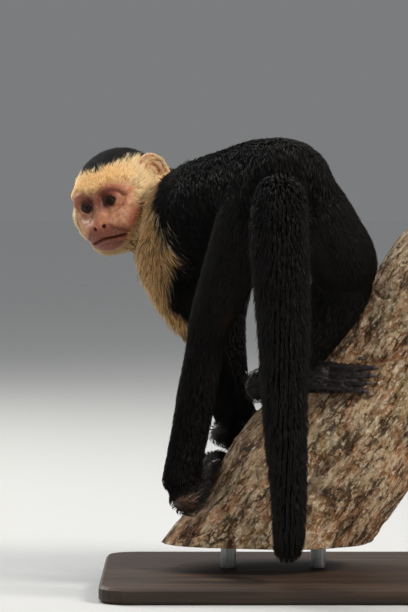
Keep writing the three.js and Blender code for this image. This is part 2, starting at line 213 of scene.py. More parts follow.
branch_line = smooth_curve(BRANCH_AXIS, 600)
branch_steps = np.linalg.norm(np.diff(branch_line, axis=0), axis=1)
branch_along = np.concatenate([[0], np.cumsum(branch_steps)])
branch_length = branch_along[-1]
branch_tangent = tangents(branch_line)


def on_branch(along, around, above):
    """Points on the branch: along its axis, degrees round it from its upper left side towards -Y,
    and above its smooth surface."""
    along, around, above = np.broadcast_arrays(along, around, above)
    angle = np.radians(around)

    def follow(line):
        return np.stack([np.interp(along, branch_along, line[:, k]) for k in range(3)], -1)

    tangent = unit(follow(branch_tangent))
    out = np.stack([-tangent[..., 2] * np.cos(angle), -np.sin(angle), tangent[..., 0] * np.cos(angle)], -1)
    radius = BRANCH["radius"] + BRANCH["flare"] * np.exp(-along / BRANCH["flare_length"]) + above
    return follow(branch_line) + out * radius[..., None]


def head_rotation():
    nod, tilt, yaw = (math.radians(HEAD_TURN[k]) for k in ("nod", "tilt", "yaw"))
    turn = Matrix.Rotation(yaw, 3, "Z") @ Matrix.Rotation(nod, 3, "X") @ Matrix.Rotation(tilt, 3, "Y")
    return np.array(turn)


HEAD_AXES = head_rotation()


def to_head(points):
    return (points - HEAD_CENTRE) @ HEAD_AXES


def from_head(points):
    return points @ HEAD_AXES.T + HEAD_CENTRE


# ---- regions of the body ----------------------------------------------------

REGION_SAMPLES = 24
# Going from the first to the last sample of a region, in mm: its radius, where it has no stations;
# the coat's depth; how deep the coarse skin lies, which is deeper where a finer one covers it; how
# far the tips of the coat stand off the skin; and the length of its hair.
PAW_RAMPS = {"radius": [14, 9], "depth": [1.5, 0.3], "core": [3, 3], "rise": [5, 0.8]}
PAW_HAIR = {"foot": [10, 3], "hand": [8, 3]}
HEAD_RAMPS = {"radius": [36, 36], "depth": [5, 5], "core": [4.5, 9], "rise": [5, 5], "hair": [10, 10]}
HEAD_LINE = [[0, -24, -8], [0, 18, -4]]   # from the nape to the forehead
NECK_RISE = [9, 11]
EAR_PULL = 0.6             # how much nearer the head counts as being round the ears


def region(points, lie, ramps):
    """One region's table: sample points, which way the coat lies at them, and its ramps."""
    values = {key: np.linspace(*pair, REGION_SAMPLES) for key, pair in ramps.items()}
    return {"points": points, "lie": lie, **values}


def region_tables():
    """For each limb, each paw and the head, its table."""
    tables = {}
    for name, (lie, depth, hair, stations) in LIMBS.items():
        curve = smooth_curve([s if len(s) == 5 else [*s, s[3]] for s in stations], REGION_SAMPLES)
        rise = NECK_RISE if name == "neck" else depth
        ramps = {"depth": depth, "core": depth, "rise": rise, "hair": hair}
        tables[name] = region(curve[:, :3], tangents(curve) * lie, ramps)
        tables[name]["radius"] = np.sqrt(curve[:, 3] * curve[:, 4])
    for name, paw in PAWS.items():
        middle = np.mean([paw["fan"][0], paw["fan"][1]], axis=0)
        path = on_branch(*np.array([*paw["sole"], *middle[1:]], float).T)
        curve = smooth_curve(path, REGION_SAMPLES)
        tables[name] = region(curve, tangents(curve), {**PAW_RAMPS, "hair": PAW_HAIR[name[:4]]})
    back, crown = from_head(np.array(HEAD_LINE, float))
    line = mix(back, crown, np.linspace(0, 1, REGION_SAMPLES)[:, None])
    tables["head"] = region(line, np.tile(unit(back - crown), (REGION_SAMPLES, 1)), HEAD_RAMPS)
    return tables


REGIONS = region_tables()
REGION_NAMES = list(REGIONS)


def survey(points, sharpness=10.0, chunk=20000):
    """How much each point belongs to each region (weights that add to 1), and where along it."""
    weights, place = np.empty((2, len(points), len(REGION_NAMES)), np.float32)
    for start in range(0, len(points), chunk):
        part = points[start : start + chunk]
        for k, (name, table) in enumerate(REGIONS.items()):
            reach = np.linalg.norm(part[:, None] - table["points"][None], axis=2) / table["radius"]
            if name == "head":
                reach = reach - EAR_PULL * smoothstep(16, 4, ear_skin(*to_head(part).T))[:, None]
            nearest = reach.argmin(1)
            weights[start : start + chunk, k] = reach[np.arange(len(part)), nearest]
            place[start : start + chunk, k] = nearest / (REGION_SAMPLES - 1)
    weights = np.exp(-sharpness * (weights - weights.min(1, keepdims=True)))
    return weights / weights.sum(1, keepdims=True), place


def share_of(weights, name):
    """How much surveyed points belong to one region."""
    return weights[:, REGION_NAMES.index(name)]


def along_regions(key, weights, place):
    """A table's value at surveyed points, blended by weight."""
    total = 0
    for k, table in enumerate(REGIONS.values()):
        value = table[key][np.rint(place[:, k] * (REGION_SAMPLES - 1)).astype(int)]
        share = weights[:, k]
        total = total + value * (share[:, None] if value.ndim == 2 else share)
    return total


# ---- fields: distances on a regular grid ------------------------------------

class Field:
    """A grid of signed distances in millimetres over a box. The box is in the world's frame, or in the
    head's for the head's own field."""

    def __init__(self, low, high, voxel):
        self.voxel = voxel
        self.first = np.floor(np.array(low) / voxel).astype(int)
        self.shape = tuple(np.ceil(np.array(high) / voxel).astype(int) - self.first + 1)
        self.values = None

    def axes(self):
        return [(self.first[k] + np.arange(self.shape[k])) * self.voxel for k in range(3)]

    def mesh_axes(self):
        return np.meshgrid(*(a.astype(np.float32) for a in self.axes()), indexing="ij", sparse=True)

    def places(self):
        return np.stack(np.meshgrid(*self.axes(), indexing="ij"), -1).reshape(-1, 3)

    def corner(self):
        return tuple(int(i) for i in self.first)

    def level_set(self, points, faces, band):
        """Signed distances to a closed mesh, cut off at band on both sides."""
        kind = "triangles" if faces.shape[1] == 3 else "quads"
        grid = openvdb.FloatGrid.createLevelSetFromPolygons(
            points.astype(np.float32),
            **{kind: faces.astype(np.uint32)},
            transform=openvdb.createLinearTransform(voxelSize=self.voxel),
            halfWidth=band / self.voxel,
        )
        out = np.empty(self.shape, np.float32)
        grid.copyToArray(out, ijk=self.corner())
        return out

    def surface(self, level=0.0):
        """Points and four-sided faces where the field has this value."""
        grid = openvdb.FloatGrid(float(self.values.max()))
        grid.transform = openvdb.createLinearTransform(voxelSize=self.voxel)
        grid.copyFromArray(self.values, ijk=self.corner())
        points, faces = grid.convertToQuads(isovalue=level)
        return np.array(points, float), np.array(faces, int)

    def blur(self, sigma):
        reach = max(1, math.ceil(2.5 * sigma / self.voxel))
        kernel = np.exp(-0.5 * (np.arange(-reach, reach + 1) * self.voxel / sigma) ** 2)
        kernel /= kernel.sum()
        for axis, length in enumerate(self.shape):
            padding = [(reach, reach) if k == axis else (0, 0) for k in range(3)]
            wide = np.pad(self.values, padding, mode="edge")
            slices = (w * np.take(wide, range(k, k + length), axis=axis) for k, w in enumerate(kernel))
            self.values = sum(slices).astype(np.float32)

    def sample(self, points):
        """The field and its gradient's direction at points, by trilinear interpolation."""
        place = points / self.voxel - self.first
        base = np.clip(np.floor(place).astype(int), 0, np.array(self.shape) - 2)
        share = np.clip(place - base, 0, 1)
        value, gradient = np.zeros(len(points)), np.zeros((len(points), 3))
        for corner in product((0, 1), repeat=3):
            held = self.values[tuple((base + corner).T)]
            x, y, z = np.where(corner, share, 1 - share).T
            value += held * x * y * z
            slopes = np.stack([y * z, x * z, x * y], 1) * np.where(corner, 1, -1)
            gradient += held[:, None] * slopes
        return value, unit(gradient)


# ---- skin -------------------------------------------------------------------

FUSE = 0.8                 # nodes are grown by this to close the gaps between them
BAND = 20.0                # how far from the skin the distances are true
BODY_VOXEL, PAW_VOXEL, HEAD_VOXEL = 2.6, 1.15, 0.85
BODY_BLUR, PAW_BLUR = 3.0, 0.6
DEPTH_VOXEL = 9.0
HEAD_BOX = [-62, -36, -52], [62, 56, 46]
TUCK = 0.4                 # how far a fine piece lies inside the coarse one where they overlap
NECK_FILLET = 6.0
FLESH = [n for n in nodes if not n.startswith(("stand_", "eye_", "ear_", "branch"))]

# [x, y, z], [half sizes], depth of the coat, in the head's frame.
HEAD_MASSES = [
    ([0, -11, 6.5], [39.2, 40, 33.5], 5.0),
    ([0, 18, 14], [27, 15, 11], 1.8),
    ([0, 16, -8], [29, 21, 19], 0.8),
    ([0, 35, -19], [20.5, 15.5, 12.5], 0.6),
    ([0, 32, -33], [22, 15, 12], 3.2),
    ([25, 3, -15], [14, 22, 20], 1.8),
    ([-25, 3, -15], [14, 22, 20], 1.8),
    ([0, -22, -16], [31, 26, 27], 6.5),
]
HEAD_BLEND = 0.24          # sharpness of the blend between the masses
BRIDGE = {"line": [[0, 30, 8], [0, 36.5, -1], [0, 42, -9]], "radius": 5.2, "fillet": 5.0}
# The tip of the nose and its wings: [|x|, y, z], [half sizes], fillet.
NOSE = [([0, 44.2, -12.8], [5.4, 5.2, 4.4], 3.5), ([5.0, 43.6, -13.2], [3.6, 4.4, 3.4], 2.2)]
NOSTRIL = [4.5, 48.0, -14.0], [2.0, 3.6, 1.9]
LID = {"thick": 1.2, "fillet": 1.6, "over": 0.2}   # over: how far the lids reach into the eye
EYE_OPENING = {"half_width": 5.7, "upper": 4.6, "lower": 4.1, "tilt": 0.10, "steep": 4}
SOCKET = {"size": [10.5, 8.5], "deep": 3.3}
MOUTH = {"height": -24.6, "drop": 4.2, "half_width": 18.5, "curve": 1.2}
# Height over the line of the mouth, how much the skin rises there, and how wide the fold is.
LIPS = [(0, -2.3, 0.85), (2.6, 0.8, 1.5), (-2.5, 1.1, 1.5), (-6.2, -0.7, 1.6)]
# The bare ear within the outline of its hair, and the thickness of its plate and rim.
EAR_TUCK = {"in": 3.4, "right_in": 5.4, "down": 2.0, "smaller": 0.88}
EAR_PLATE = {"cup": 5.4, "cup_power": 2.2, "half_thick": 1.05, "rim": 1.5, "ridge": 1.7, "hollow": 1.0}
SLOT = {"widths": [0.4, 0.7, 1.1], "start": 0.65, "past": 1.2, "round": 1.2}   # between the digits

# Folds and swellings of the face as seen from the front: a line through [|x|, z] points, how much
# the skin rises along it, and how wide the fold is.
FACE_FOLDS = [
    ([[7.0, -12.5], [11, -17.5], [15.5, -22], [20, -27]], -0.8, 1.5),
    ([[5.8, -1.5], [10, -5.2], [16, -5.4], [21, -1.2]], -0.7, 1.2),
    ([[5.5, -5.0], [11, -9.0], [18, -9.5]], -0.35, 1.4),
    ([[6, 8.0], [12, 10.6], [18, 9.2], [21.5, 5.4]], -0.8, 1.2),
    ([[5.2, 2.0], [5.6, 1.6]], -1.2, 2.0),
    ([[21.5, 5.0], [25, 3.0]], -0.5, 1.3),
    ([[0, 15.5], [10, 16.5], [20, 14], [27, 7]], 2.0, 4.5),
    ([[13, -8.5], [20, -8], [25, -4]], 1.2, 4.0),
    ([[22, -12], [25, -20]], 0.9, 5.0),
    ([[0, -18.5], [0, -23]], -0.5, 1.3),
]


def mesh_points(mesh):
    points = np.empty(len(mesh.vertices) * 3, np.float32)
    mesh.vertices.foreach_get("co", points)
    return points.reshape(-1, 3)


def mesh_triangles(mesh):
    mesh.calc_loop_triangles()
    corners = np.empty(len(mesh.loop_triangles) * 3, np.int32)
    mesh.loop_triangles.foreach_get("vertices", corners)
    return corners.reshape(-1, 3)


def fuse(field, names):
    """Fills the field with the distance to the joined outline of these nodes."""
    near = 3 * field.voxel
    field.values = np.full(field.shape, near, np.float32)
    for name in names:
        mesh = nodes[name].data
        piece = field.level_set(mesh_points(mesh) / MM, mesh_triangles(mesh), near)
        field.values = np.minimum(field.values, piece)
    field.values = field.level_set(*field.surface(FUSE), BAND) + FUSE


def coat_depth(field, key):
    """The coat's depth, or the coarse skin's, on the field's grid, from a coarser grid of its own."""
    low, high = field.first * field.voxel, (field.first + np.array(field.shape)) * field.voxel
    coarse = Field(low - DEPTH_VOXEL, high + DEPTH_VOXEL, DEPTH_VOXEL)
    coarse.values = along_regions(key, *survey(coarse.places())).reshape(coarse.shape).astype(np.float32)
    depth = np.zeros(field.shape, np.float32)
    near = np.abs(field.values) < BAND - 1
    depth[near] = coarse.sample((np.argwhere(near) + field.first) * field.voxel)[0]
    return depth


def close_ends(field):
    """Makes the outermost layer of the grid lie outside, so that the surface is closed."""
    for axis in range(3):
        ends = [slice(None)] * 3
        for end in (0, -1):
            ends[axis] = end
            field.values[tuple(ends)] = field.voxel


def blend_min(a, b, reach):
    overlap = np.maximum(reach - np.abs(a - b), 0) / reach
    return np.minimum(a, b) - overlap * overlap * reach / 4


def to_segment(offset, span):
    """Distance from points, given from a segment's start, to the segment with this span."""
    share = np.clip(sum(o * s for o, s in zip(offset, span)) / sum(s * s for s in span), 0, 1)
    return np.sqrt(sum((o - share * s) ** 2 for o, s in zip(offset, span)))


def to_line(coordinates, points):
    """Distance from points to a line through points, in as many dimensions as they have."""
    parts = []
    for start, end in zip(points[:-1], points[1:]):
        offset = [c - a for c, a in zip(coordinates, start)]
        parts.append(to_segment(offset, [b - a for a, b in zip(start, end)]))
    return np.minimum.reduce(parts)


def ellipsoid(x, y, z, at, size):
    squares = sum(((value - middle) / half) ** 2 for value, middle, half in zip((x, y, z), at, size))
    return (np.sqrt(squares) - 1) * min(size)


def mouth_height(across):
    return MOUTH["height"] - MOUTH["drop"] * (across / MOUTH["half_width"]) ** MOUTH["curve"]


def eye_opening(across, up):
    """Below 0 inside the almond between the lids: across from the eye's middle to the side, and up."""
    up = up - EYE_OPENING["tilt"] * across
    height = np.where(up > 0, EYE_OPENING["upper"], EYE_OPENING["lower"])
    almond = np.abs(up) / height + (across / EYE_OPENING["half_width"]) ** 2
    return (almond - 1) * EYE_OPENING["steep"]


def face_relief(across, y, z):
    """How far the face's folds, lips and sockets raise the skin."""
    relief = sum(rise * hump(to_line((across, z), line), 0, width) for line, rise, width in FACE_FOLDS)
    lip = z - mouth_height(across)
    within = 1 - smoothstep(MOUTH["half_width"] - 2.5, MOUTH["half_width"] + 1.5, across)
    relief = relief + within * sum(rise * hump(lip, at, width) for at, rise, width in LIPS)
    relief = relief - SOCKET["deep"] * spot(across, z, [EYE["side"], EYE["up"]], SOCKET["size"])
    return relief * smoothstep(14, 24, y)


def ear_skin(x, y, z):
    """Distance to the thin cup of either ear, with its rolled rim, inner ridge and hollow."""
    across = np.abs(x) - EAR["side"] + np.where(x > 0, EAR_TUCK["right_in"], EAR_TUCK["in"])
    flare = math.radians(90 - EAR["flare"])
    lean = math.radians(EAR["lean"])
    ahead, up = y + EAR["back"], z - EAR["up"] + EAR_TUCK["down"]
    out = across * math.sin(flare) + ahead * math.cos(flare)
    level = across * math.cos(flare) - ahead * math.sin(flare)
    depth = out * math.cos(lean) + up * math.sin(lean)
    height = up * math.cos(lean) - out * math.sin(lean)
    reach = np.hypot(level * EAR["height"] / EAR["width"], height) / EAR_TUCK["smaller"]
    angle = np.arctan2(height, level)
    outline = EAR["height"] * (1 - 0.05 * np.cos(2 * angle))
    middle = 0.2 + EAR_PLATE["cup"] * np.clip(reach / outline, 0, 1.1) ** EAR_PLATE["cup_power"]
    ridge = hump(reach, 10.5 + 1.5 * np.sin(angle), 1.7) * smoothstep(-0.6, 0.5, np.sin(angle + 0.6))
    middle = middle + EAR_PLATE["ridge"] * ridge - EAR_PLATE["hollow"] * hump(reach, 0, 6.5)
    plate = np.maximum(np.abs(depth - middle) - EAR_PLATE["half_thick"], reach - outline)
    rim = np.hypot(reach - outline + 0.6, depth - middle - 0.5) - EAR_PLATE["rim"]
    return blend_min(plate, rim, 1.5)


def head_skin(x, y, z):
    """Distance to the skin of the head, ears included, in its own frame."""
    across = np.abs(x)
    masses = [ellipsoid(x, y, z, at, [s - coat for s in size]) for at, size, coat in HEAD_MASSES]
    skin = -np.log(sum(np.exp(-HEAD_BLEND * mass) for mass in masses)) / HEAD_BLEND
    skin = skin - face_relief(across, y, z)
    skin = blend_min(skin, to_line((x, y, z), BRIDGE["line"]) - BRIDGE["radius"], BRIDGE["fillet"])
    for at, size, fillet in NOSE:
        skin = blend_min(skin, ellipsoid(across, y, z, at, size), fillet)
    skin = np.maximum(skin, -ellipsoid(across, y, z, *NOSTRIL))

    side, ahead, up = across - EYE["side"], y - EYE["forward"], z - EYE["up"]
    to_eye = np.sqrt(side**2 + ahead**2 + up**2) - EYE["radius"]
    skin = blend_min(skin, to_eye - LID["thick"], LID["fillet"])
    carved = np.maximum(np.maximum(eye_opening(side, up), -LID["over"] - to_eye), -ahead)
    skin = np.maximum(skin, -carved)
    return np.minimum(skin, ear_skin(x, y, z))


def outward(points, faces):
    """The faces, turned so that they face out."""
    a, b, c = (points[faces[:, k]] for k in range(3))
    volume = np.einsum("ij,ij->", a, np.cross(b, c))
    return faces if volume > 0 else faces[:, ::-1]


def new_mesh(name, points, faces):
    """A smooth mesh object from points in millimetres and faces that all have as many corners."""
    mesh = bpy.data.meshes.new(name)
    mesh.vertices.add(len(points))
    mesh.vertices.foreach_set("co", (np.asarray(points) * MM).astype(np.float32).ravel())
    mesh.loops.add(faces.size)
    mesh.loops.foreach_set("vertex_index", faces.astype(np.int32).ravel())
    mesh.polygons.add(len(faces))
    mesh.polygons.foreach_set("loop_start", np.arange(0, faces.size, faces.shape[1], dtype=np.int32))
    mesh.polygons.foreach_set("use_smooth", np.full(len(faces), True))
    mesh.update(calc_edges=True)
    thing = bpy.data.objects.new(name, mesh)
    bpy.context.scene.collection.objects.link(thing)
    return thing


def node_box(names, margin):
    """The lowest and highest corner of some nodes, in millimetres, grown by a margin."""
    low = np.min([np.array(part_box(n)[0]) for n in names], axis=0) / MM - margin
    high = np.max([np.array(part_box(n)[1]) for n in names], axis=0) / MM + margin
    return low, high


def make_body_field():
    field = Field(*node_box(FLESH, 8), BODY_VOXEL)
    fuse(field, FLESH)
    field.values += coat_depth(field, "core")
    field.blur(BODY_BLUR)
    return field


def digits_of(paw):
    """The digits' middle lines on the branch, from root to tip: four like ones, then the thumb."""
    first, last = np.array(PAWS[paw]["fan"], float)
    digits = [first + (last - first) * k / 3 for k in range(4)] + [np.array(PAWS[paw]["thumb"], float)]
    return [on_branch(*digit.T) for digit in digits]


def make_paw_field(paw, limb):
    """A hand or foot, with slots cut between its four like digits."""
    field = Field(*node_box([paw], 10), PAW_VOXEL)
    fuse(field, [paw, limb])
    field.values += coat_depth(field, "depth")
    grid = field.mesh_axes()
    digits = digits_of(paw)
    for one, other in zip(digits[:3], digits[1:4]):
        root, knuckle, tip = (one + other) / 2
        past = tip + (tip - knuckle) * SLOT["past"]
        line = [mix(root, knuckle, SLOT["start"]), knuckle, tip, past]
        for start, end, wide in zip(line[:-1], line[1:], SLOT["widths"]):
            slot = to_segment([g - s for g, s in zip(grid, start)], end - start) - wide
            field.values = -blend_min(-field.values, slot, SLOT["round"])
    field.blur(PAW_BLUR)
    close_ends(field)
    return field


def make_head_field(body):
    field = Field(*HEAD_BOX, HEAD_VOXEL)
    field.values = head_skin(*field.mesh_axes()).astype(np.float32)
    under, _ = body.sample(from_head(field.places()))
    under = under.reshape(field.shape).astype(np.float32) + TUCK
    field.values = blend_min(field.values, under, NECK_FILLET)
    close_ends(field)
    return field


def as_object(name, field, place=None):
    points, faces = field.surface()
    if place:
        points = place(points)
    return new_mesh(name, points, outward(points, faces))


def union(base, others):
    """One skin from overlapping closed pieces."""
    for other in others:
        joiner = base.modifiers.new("join", "BOOLEAN")
        joiner.operation = "UNION"
        joiner.solver = "MANIFOLD"
        joiner.object = other
        bpy.context.view_layer.objects.active = base
        bpy.ops.object.modifier_apply(modifier=joiner.name)
        bpy.data.objects.remove(other)
    return base


body_field = make_body_field()
head_field = make_head_field(body_field)
limb_of = {paw: paw.replace("foot", "shank").replace("hand", "forearm") for paw in PAWS}
paw_fields = {paw: make_paw_field(paw, limb) for paw, limb in limb_of.items()}
skin = union(
    as_object("skin", body_field),
    [as_object("head_skin", head_field, from_head)] + [as_object(p, f) for p, f in paw_fields.items()],
)


# ---- markings ---------------------------------------------------------------

def wander(points, scale, seed, waves=7):
    """Smooth noise of about -1 to 1: waves of about this length, in directions drawn from the seed."""
    draw = np.random.default_rng(seed)
    directions = unit(draw.normal(size=(waves, 3))) * draw.uniform(0.7, 1.6, (waves, 1))
    phase = draw.uniform(0, 2 * math.pi, waves)
    return np.sin(points @ directions.T * (2 * math.pi / scale) + phase).sum(1) / math.sqrt(waves)


CREAM_EDGE = {"line": [-0.45, 0.87], "at": 76, "elbow": [226, 292], "top": [346, 372, 60]}
# Heights, and how far towards the animal's right the cream goes at them on its near side.
CREAM_SIDE = [[228, 254, 279, 298, 312, 349], [-96, -110, -114, -113, -118, -117]]
NECK_AXIS = [[-98, 90, 324], [-143, 98, 343]]
CAP = {"half_width": 30, "narrower": 8, "length": 36, "middle": -20, "edge": 24}
RUST_LINE, RUST_WIDTH = [[-51, -72, 250], [-58, -62, 224], [-68, -56, 198]], 5.5
HEEL, HEEL_WIDTH = [-95, -52, 84], 15
# The painted shade where the near cheek meets the neck, as a line of dark hair: the head's share of the
# surveyed weights there.
FOLD_SHADE = {"weight": 0.40, "width": 0.22}


def body_markings(points):
    """How far inside the cream a point of the body lies, in mm, and how warm the cream is there."""
    x, y, z = points.T
    astray = wander(points, 45, 11)
    forward = CREAM_EDGE["line"][0] * x + CREAM_EDGE["line"][1] * y + 4 * astray
    low, high, further = CREAM_EDGE["top"]
    inside = forward - CREAM_EDGE["at"] - further * smoothstep(low, high, z)
    aside = np.interp(z, *CREAM_SIDE) - x + 0.9 * np.maximum(y - 50, 0) + 3 * astray
    elbow = np.interp(x, [-90, -75], CREAM_EDGE["elbow"]) + 6 * wander(points, 30, 12)
    inside = np.minimum.reduce([inside, aside, 0.8 * (z - elbow)])
    return inside, 1 - 0.75 * smoothstep(8, 55, inside)


def head_markings(head_points):
    """The same for the head, in its own frame: cream with a black cap."""
    x, y, z = head_points.T
    behind = np.maximum(CAP["middle"] - y, 0)
    narrow = CAP["half_width"] - CAP["narrower"] * smoothstep(0, 30, behind) * smoothstep(10, -25, z)
    front = np.maximum(y - CAP["middle"], 0) / CAP["length"]
    cap = (1 - np.hypot(x / narrow, front)) * CAP["edge"]
    cap = np.minimum(cap, z + 3 * behind) + 1.2 * wander(head_points, 9, 13)
    warm = 0.15 + 0.6 * smoothstep(0, 24, y) * smoothstep(8, 22, z) - 0.15 * smoothstep(-20, -34, z)
    return -cap, warm


def grizzled(points, weights):
    """How much the cream is mixed with dark hair: not on the head and the ears."""
    away = np.linalg.norm(points - HEAD_CENTRE, axis=1)
    return smoothstep(40, 56, away) * smoothstep(0.6, 0.2, share_of(weights, "head"))


def nape(points):
    """How far a point lies inside the black that runs from the cap down the back of the neck."""
    start, end = np.array(NECK_AXIS, float)
    span = end - start
    share = np.clip((points - start) @ span / (span @ span), 0, 1)
    away = points - start - share[:, None] * span
    back = unit(np.stack([np.zeros_like(share), 0.25 + 0.75 * share, 1 - 0.6 * share], 1))
    return 30 * (np.einsum("ij,ij->i", unit(away), back) - 0.45)


def markings(points, weights):
    """How far inside the cream, and how warm the colour, over the whole animal: in the black, warm is
    where it turns rusty."""
    local = to_head(points)
    inside, warm = body_markings(points)
    head_inside, head_warm = head_markings(local)
    ear = smoothstep(4.0, 1.5, ear_skin(*local.T))
    on_head = np.maximum(smoothstep(0.3, 0.7, share_of(weights, "head")), ear)
    on_neck = np.clip(share_of(weights, "neck") * 2, 0, 1)
    inside = mix(inside, np.minimum(inside, -nape(points)), on_neck)
    inside = mix(inside, head_inside + 20 * ear, on_head)
    beside = smoothstep(-4, -16, local[:, 0]) * smoothstep(2, -4, local[:, 2]) * (1 - ear)
    # Painted shade: the cream turns dark along the fold between the near cheek and the neck.
    fold = hump(share_of(weights, "head"), FOLD_SHADE["weight"], FOLD_SHADE["width"]) * beside
    inside = inside - fold * np.clip(inside + 2, 0, 30)
    warm = mix(warm, head_warm, on_head)
    return inside, np.where(inside > 0, warm, hump(to_line(points.T, RUST_LINE), 0, RUST_WIDTH))


# The bare skin of the face: ovals on its front, in mm to the side and up, and how far the middle of
# each lies inside the bare skin.
BARE = {
    "eyes": ([14, 5], [18.5, 14], 13),
    "muzzle": ([0, -16], [28, 24], 22),
    "cheek": ([22, -11], [11.5, 14], 12),
    "jaw": ([29, -19], [7, 11], 8),
}
# Its redder places, and the painted shade in the sockets (over the skin's own darker tone there), at the
# inner corners of the eyes, in the crease beside the nose, on its bridge and in the nostrils: soft ovals
# and lines, each with how strong it is.
PAINTED_SHADE_SPOTS = [([13, 9], [12, 9.5], 0.85), ([6.2, 3.5], [3.5, 6.5], 0.6)]
CREASE_SHADE = {"line": [[7, -12.5], [12, -18], [17, -23]], "width": 2.4, "strength": 0.35}
BRIDGE_SHADE = {"width": 8, "strength": 0.3}
ROSY_RING = [15, 12], [14, 9], 0.7
ROSY_NOSE = {"line": [[0, 47, -12], [5.5, 44, -13.5]], "width": 4.6, "strength": 0.9}
ROSY_LIP = {"at": -2.5, "width": 2.2, "strength": 0.35}
NOSTRIL_LINE, NOSTRIL_WIDTH = [[4.2, 47, -14.2], [4.2, 44, -13.6]], 1.7


def bare_oval(name, across, up):
    """How far inside one of the bare ovals, as a share of its size."""
    at, size, _ = BARE[name]
    return 1 - np.hypot((across - at[0]) / size[0], (up - at[1]) / size[1])


def face_zones(head_points):
    """The bare skin of the face and ears, each from 0 to 1, in the head's frame."""
    x, y, z = head_points.T
    across = np.abs(x)
    front = smoothstep(4, 14, y)
    ovals = {name: bare_oval(name, across, z) for name in BARE}
    ovals["jaw"] = ovals["jaw"] - 0.5 * smoothstep(0, 10, x)
    bare = np.maximum.reduce([ovals[name] * deep for name, (_, _, deep) in BARE.items()])
    bare = bare + wander(head_points, 8, 21)
    ear = smoothstep(1.5, 0.0, ear_skin(x, y, z))

    lip = z - mouth_height(across)
    # Painted shade in the slit between the lips and inside the nostrils.
    mouth = 0.85 * hump(lip, 0, 0.6) * (1 - smoothstep(14, 18.5, across)) * smoothstep(20, 26, y)
    nostril = hump(to_line((across, y, z), NOSTRIL_LINE), 0, NOSTRIL_WIDTH)
    lids = hump(eye_opening(across - EYE["side"], z - EYE["up"]), 0, 1.3)

    # Painted shade in the sockets and at the inner corners of the eyes, in the crease beside the nose and
    # on the nose bridge; in the sockets it also deepens the skin's own darker tone.
    painted_shade = sum(strength * spot(across, z, at, size) for at, size, strength in PAINTED_SHADE_SPOTS)
    painted_shade = painted_shade + CREASE_SHADE["strength"] * hump(to_line((across, z), CREASE_SHADE["line"]), 0, CREASE_SHADE["width"])
    on_bridge = hump(across, 0, BRIDGE_SHADE["width"]) * smoothstep(-14, -4, z)
    painted_shade = painted_shade + BRIDGE_SHADE["strength"] * on_bridge

    corner = smoothstep(8, 15, across) * (1 - smoothstep(17, 21, across))
    at, size, strength = ROSY_RING
    rosy = strength * spot(across, z, at, size) + 0.75 * np.clip(ovals["jaw"] * 2.5, 0, 1)
    rosy = rosy + ROSY_LIP["strength"] * hump(lip, ROSY_LIP["at"], ROSY_LIP["width"]) * corner
    nose = ROSY_NOSE["strength"] * hump(to_line((across, y, z), ROSY_NOSE["line"]), 0, ROSY_NOSE["width"])
    in_ear = ear * np.clip(0.4 + 0.4 * wander(head_points, 14, 22), 0, 1)
    return {
        "bare": np.maximum(smoothstep(-1.5, 2.0, bare) * front, ear),
        "painted_shade": np.clip(painted_shade, 0, 1) * front,
        "rims": np.clip(lids * hump(y, EYE["forward"] + 8, 9), 0, 1) * front,
        "rosy": np.clip(nose + rosy * front + in_ear, 0, 1),
        "dark": np.clip(mouth + nostril, 0, 1) * front,
        "ear": ear,
    }


# ---- materials --------------------------------------------------------------

class Finish:
    """A material built up a node at a time. Each call gives back the new node's output."""

    def __init__(self, name, **settings):
        self.material = bpy.data.materials.new(name)
        self.material.use_nodes = True
        self.tree = self.material.node_tree
        shader = self.tree.nodes["Principled BSDF"]
        self.inputs = shader.inputs
        for socket, value in settings.items():
            self.feed(self.inputs[socket.replace("_", " ")], value)

    def feed(self, socket, value):
        if isinstance(value, bpy.types.NodeSocket):
            self.tree.links.new(value, socket)
        elif socket.type == "RGBA":
            socket.default_value = (*value, 1)
        else:
            socket.default_value = value

    def add(self, kind, inputs, output=0, **settings):
        node = self.tree.nodes.new("ShaderNode" + kind)
        for key, value in settings.items():
            setattr(node, key, value)
        for key, value in inputs.items():
            self.feed(node.inputs[key], value)
        return node.outputs[output]

    def attribute(self, name, output="Fac"):
        return self.add("Attribute", {}, output, attribute_name=name)

    def place(self, stretch=(1, 1, 1)):
        """Object coordinates in metres, stretched."""
        return self.add("Mapping", {"Vector": self.add("TexCoord", {}, "Object"), "Scale": stretch})

    def stretched(self, turn, long):
        """Object coordinates that stretch a pattern along the x axis turned about y, in degrees."""
        where = self.add("TexCoord", {}, "Object")
        inputs = {"Vector": where, "Rotation": (0, -math.radians(turn), 0), "Scale": (long, 1, 1)}
        return self.add("Mapping", inputs, vector_type="TEXTURE")

    def noise(self, scale, detail=3.0, place=None, rough=0.55, output=0):
        where = place or self.place()
        inputs = {"Vector": where, "Scale": scale, "Detail": detail, "Roughness": rough}
        return self.add("TexNoise", inputs, output)

    def cells(self, scale, place=None, output="Distance", feature="F1"):
        where = place or self.place()
        return self.add("TexVoronoi", {"Vector": where, "Scale": scale}, output, feature=feature)

    def range(self, value, low, high, to_low=0.0, to_high=1.0):
        inputs = {"Value": value, "From Min": low, "From Max": high, "To Min": to_low, "To Max": to_high}
        return self.add("MapRange", inputs)

    def math(self, operation, *values):
        return self.add("Math", dict(enumerate(values)), operation=operation)

    def sum(self, a, b):
        return self.math("ADD", a, b)

    def times(self, a, b):
        return self.math("MULTIPLY", a, b)

    def mix(self, share, a, b, blend="MIX"):
        return self.add("Mix", {0: share, 6: a, 7: b}, 2, data_type="RGBA", blend_type=blend)

    def over(self, colour, *layers):
        """Lays colours over one another: each shows by a share."""
        for share, tint in layers:
            colour = self.mix(share, colour, tint)
        return colour

    def bump(self, height, distance, strength=1.0):
        return self.add("Bump", {"Height": height, "Distance": distance, "Strength": strength})

    def done(self, colour, normal=None, roughness=None):
        for socket, value in (("Base Color", colour), ("Normal", normal), ("Roughness", roughness)):
            if value is not None:
                self.feed(self.inputs[socket], value)
        return self.material


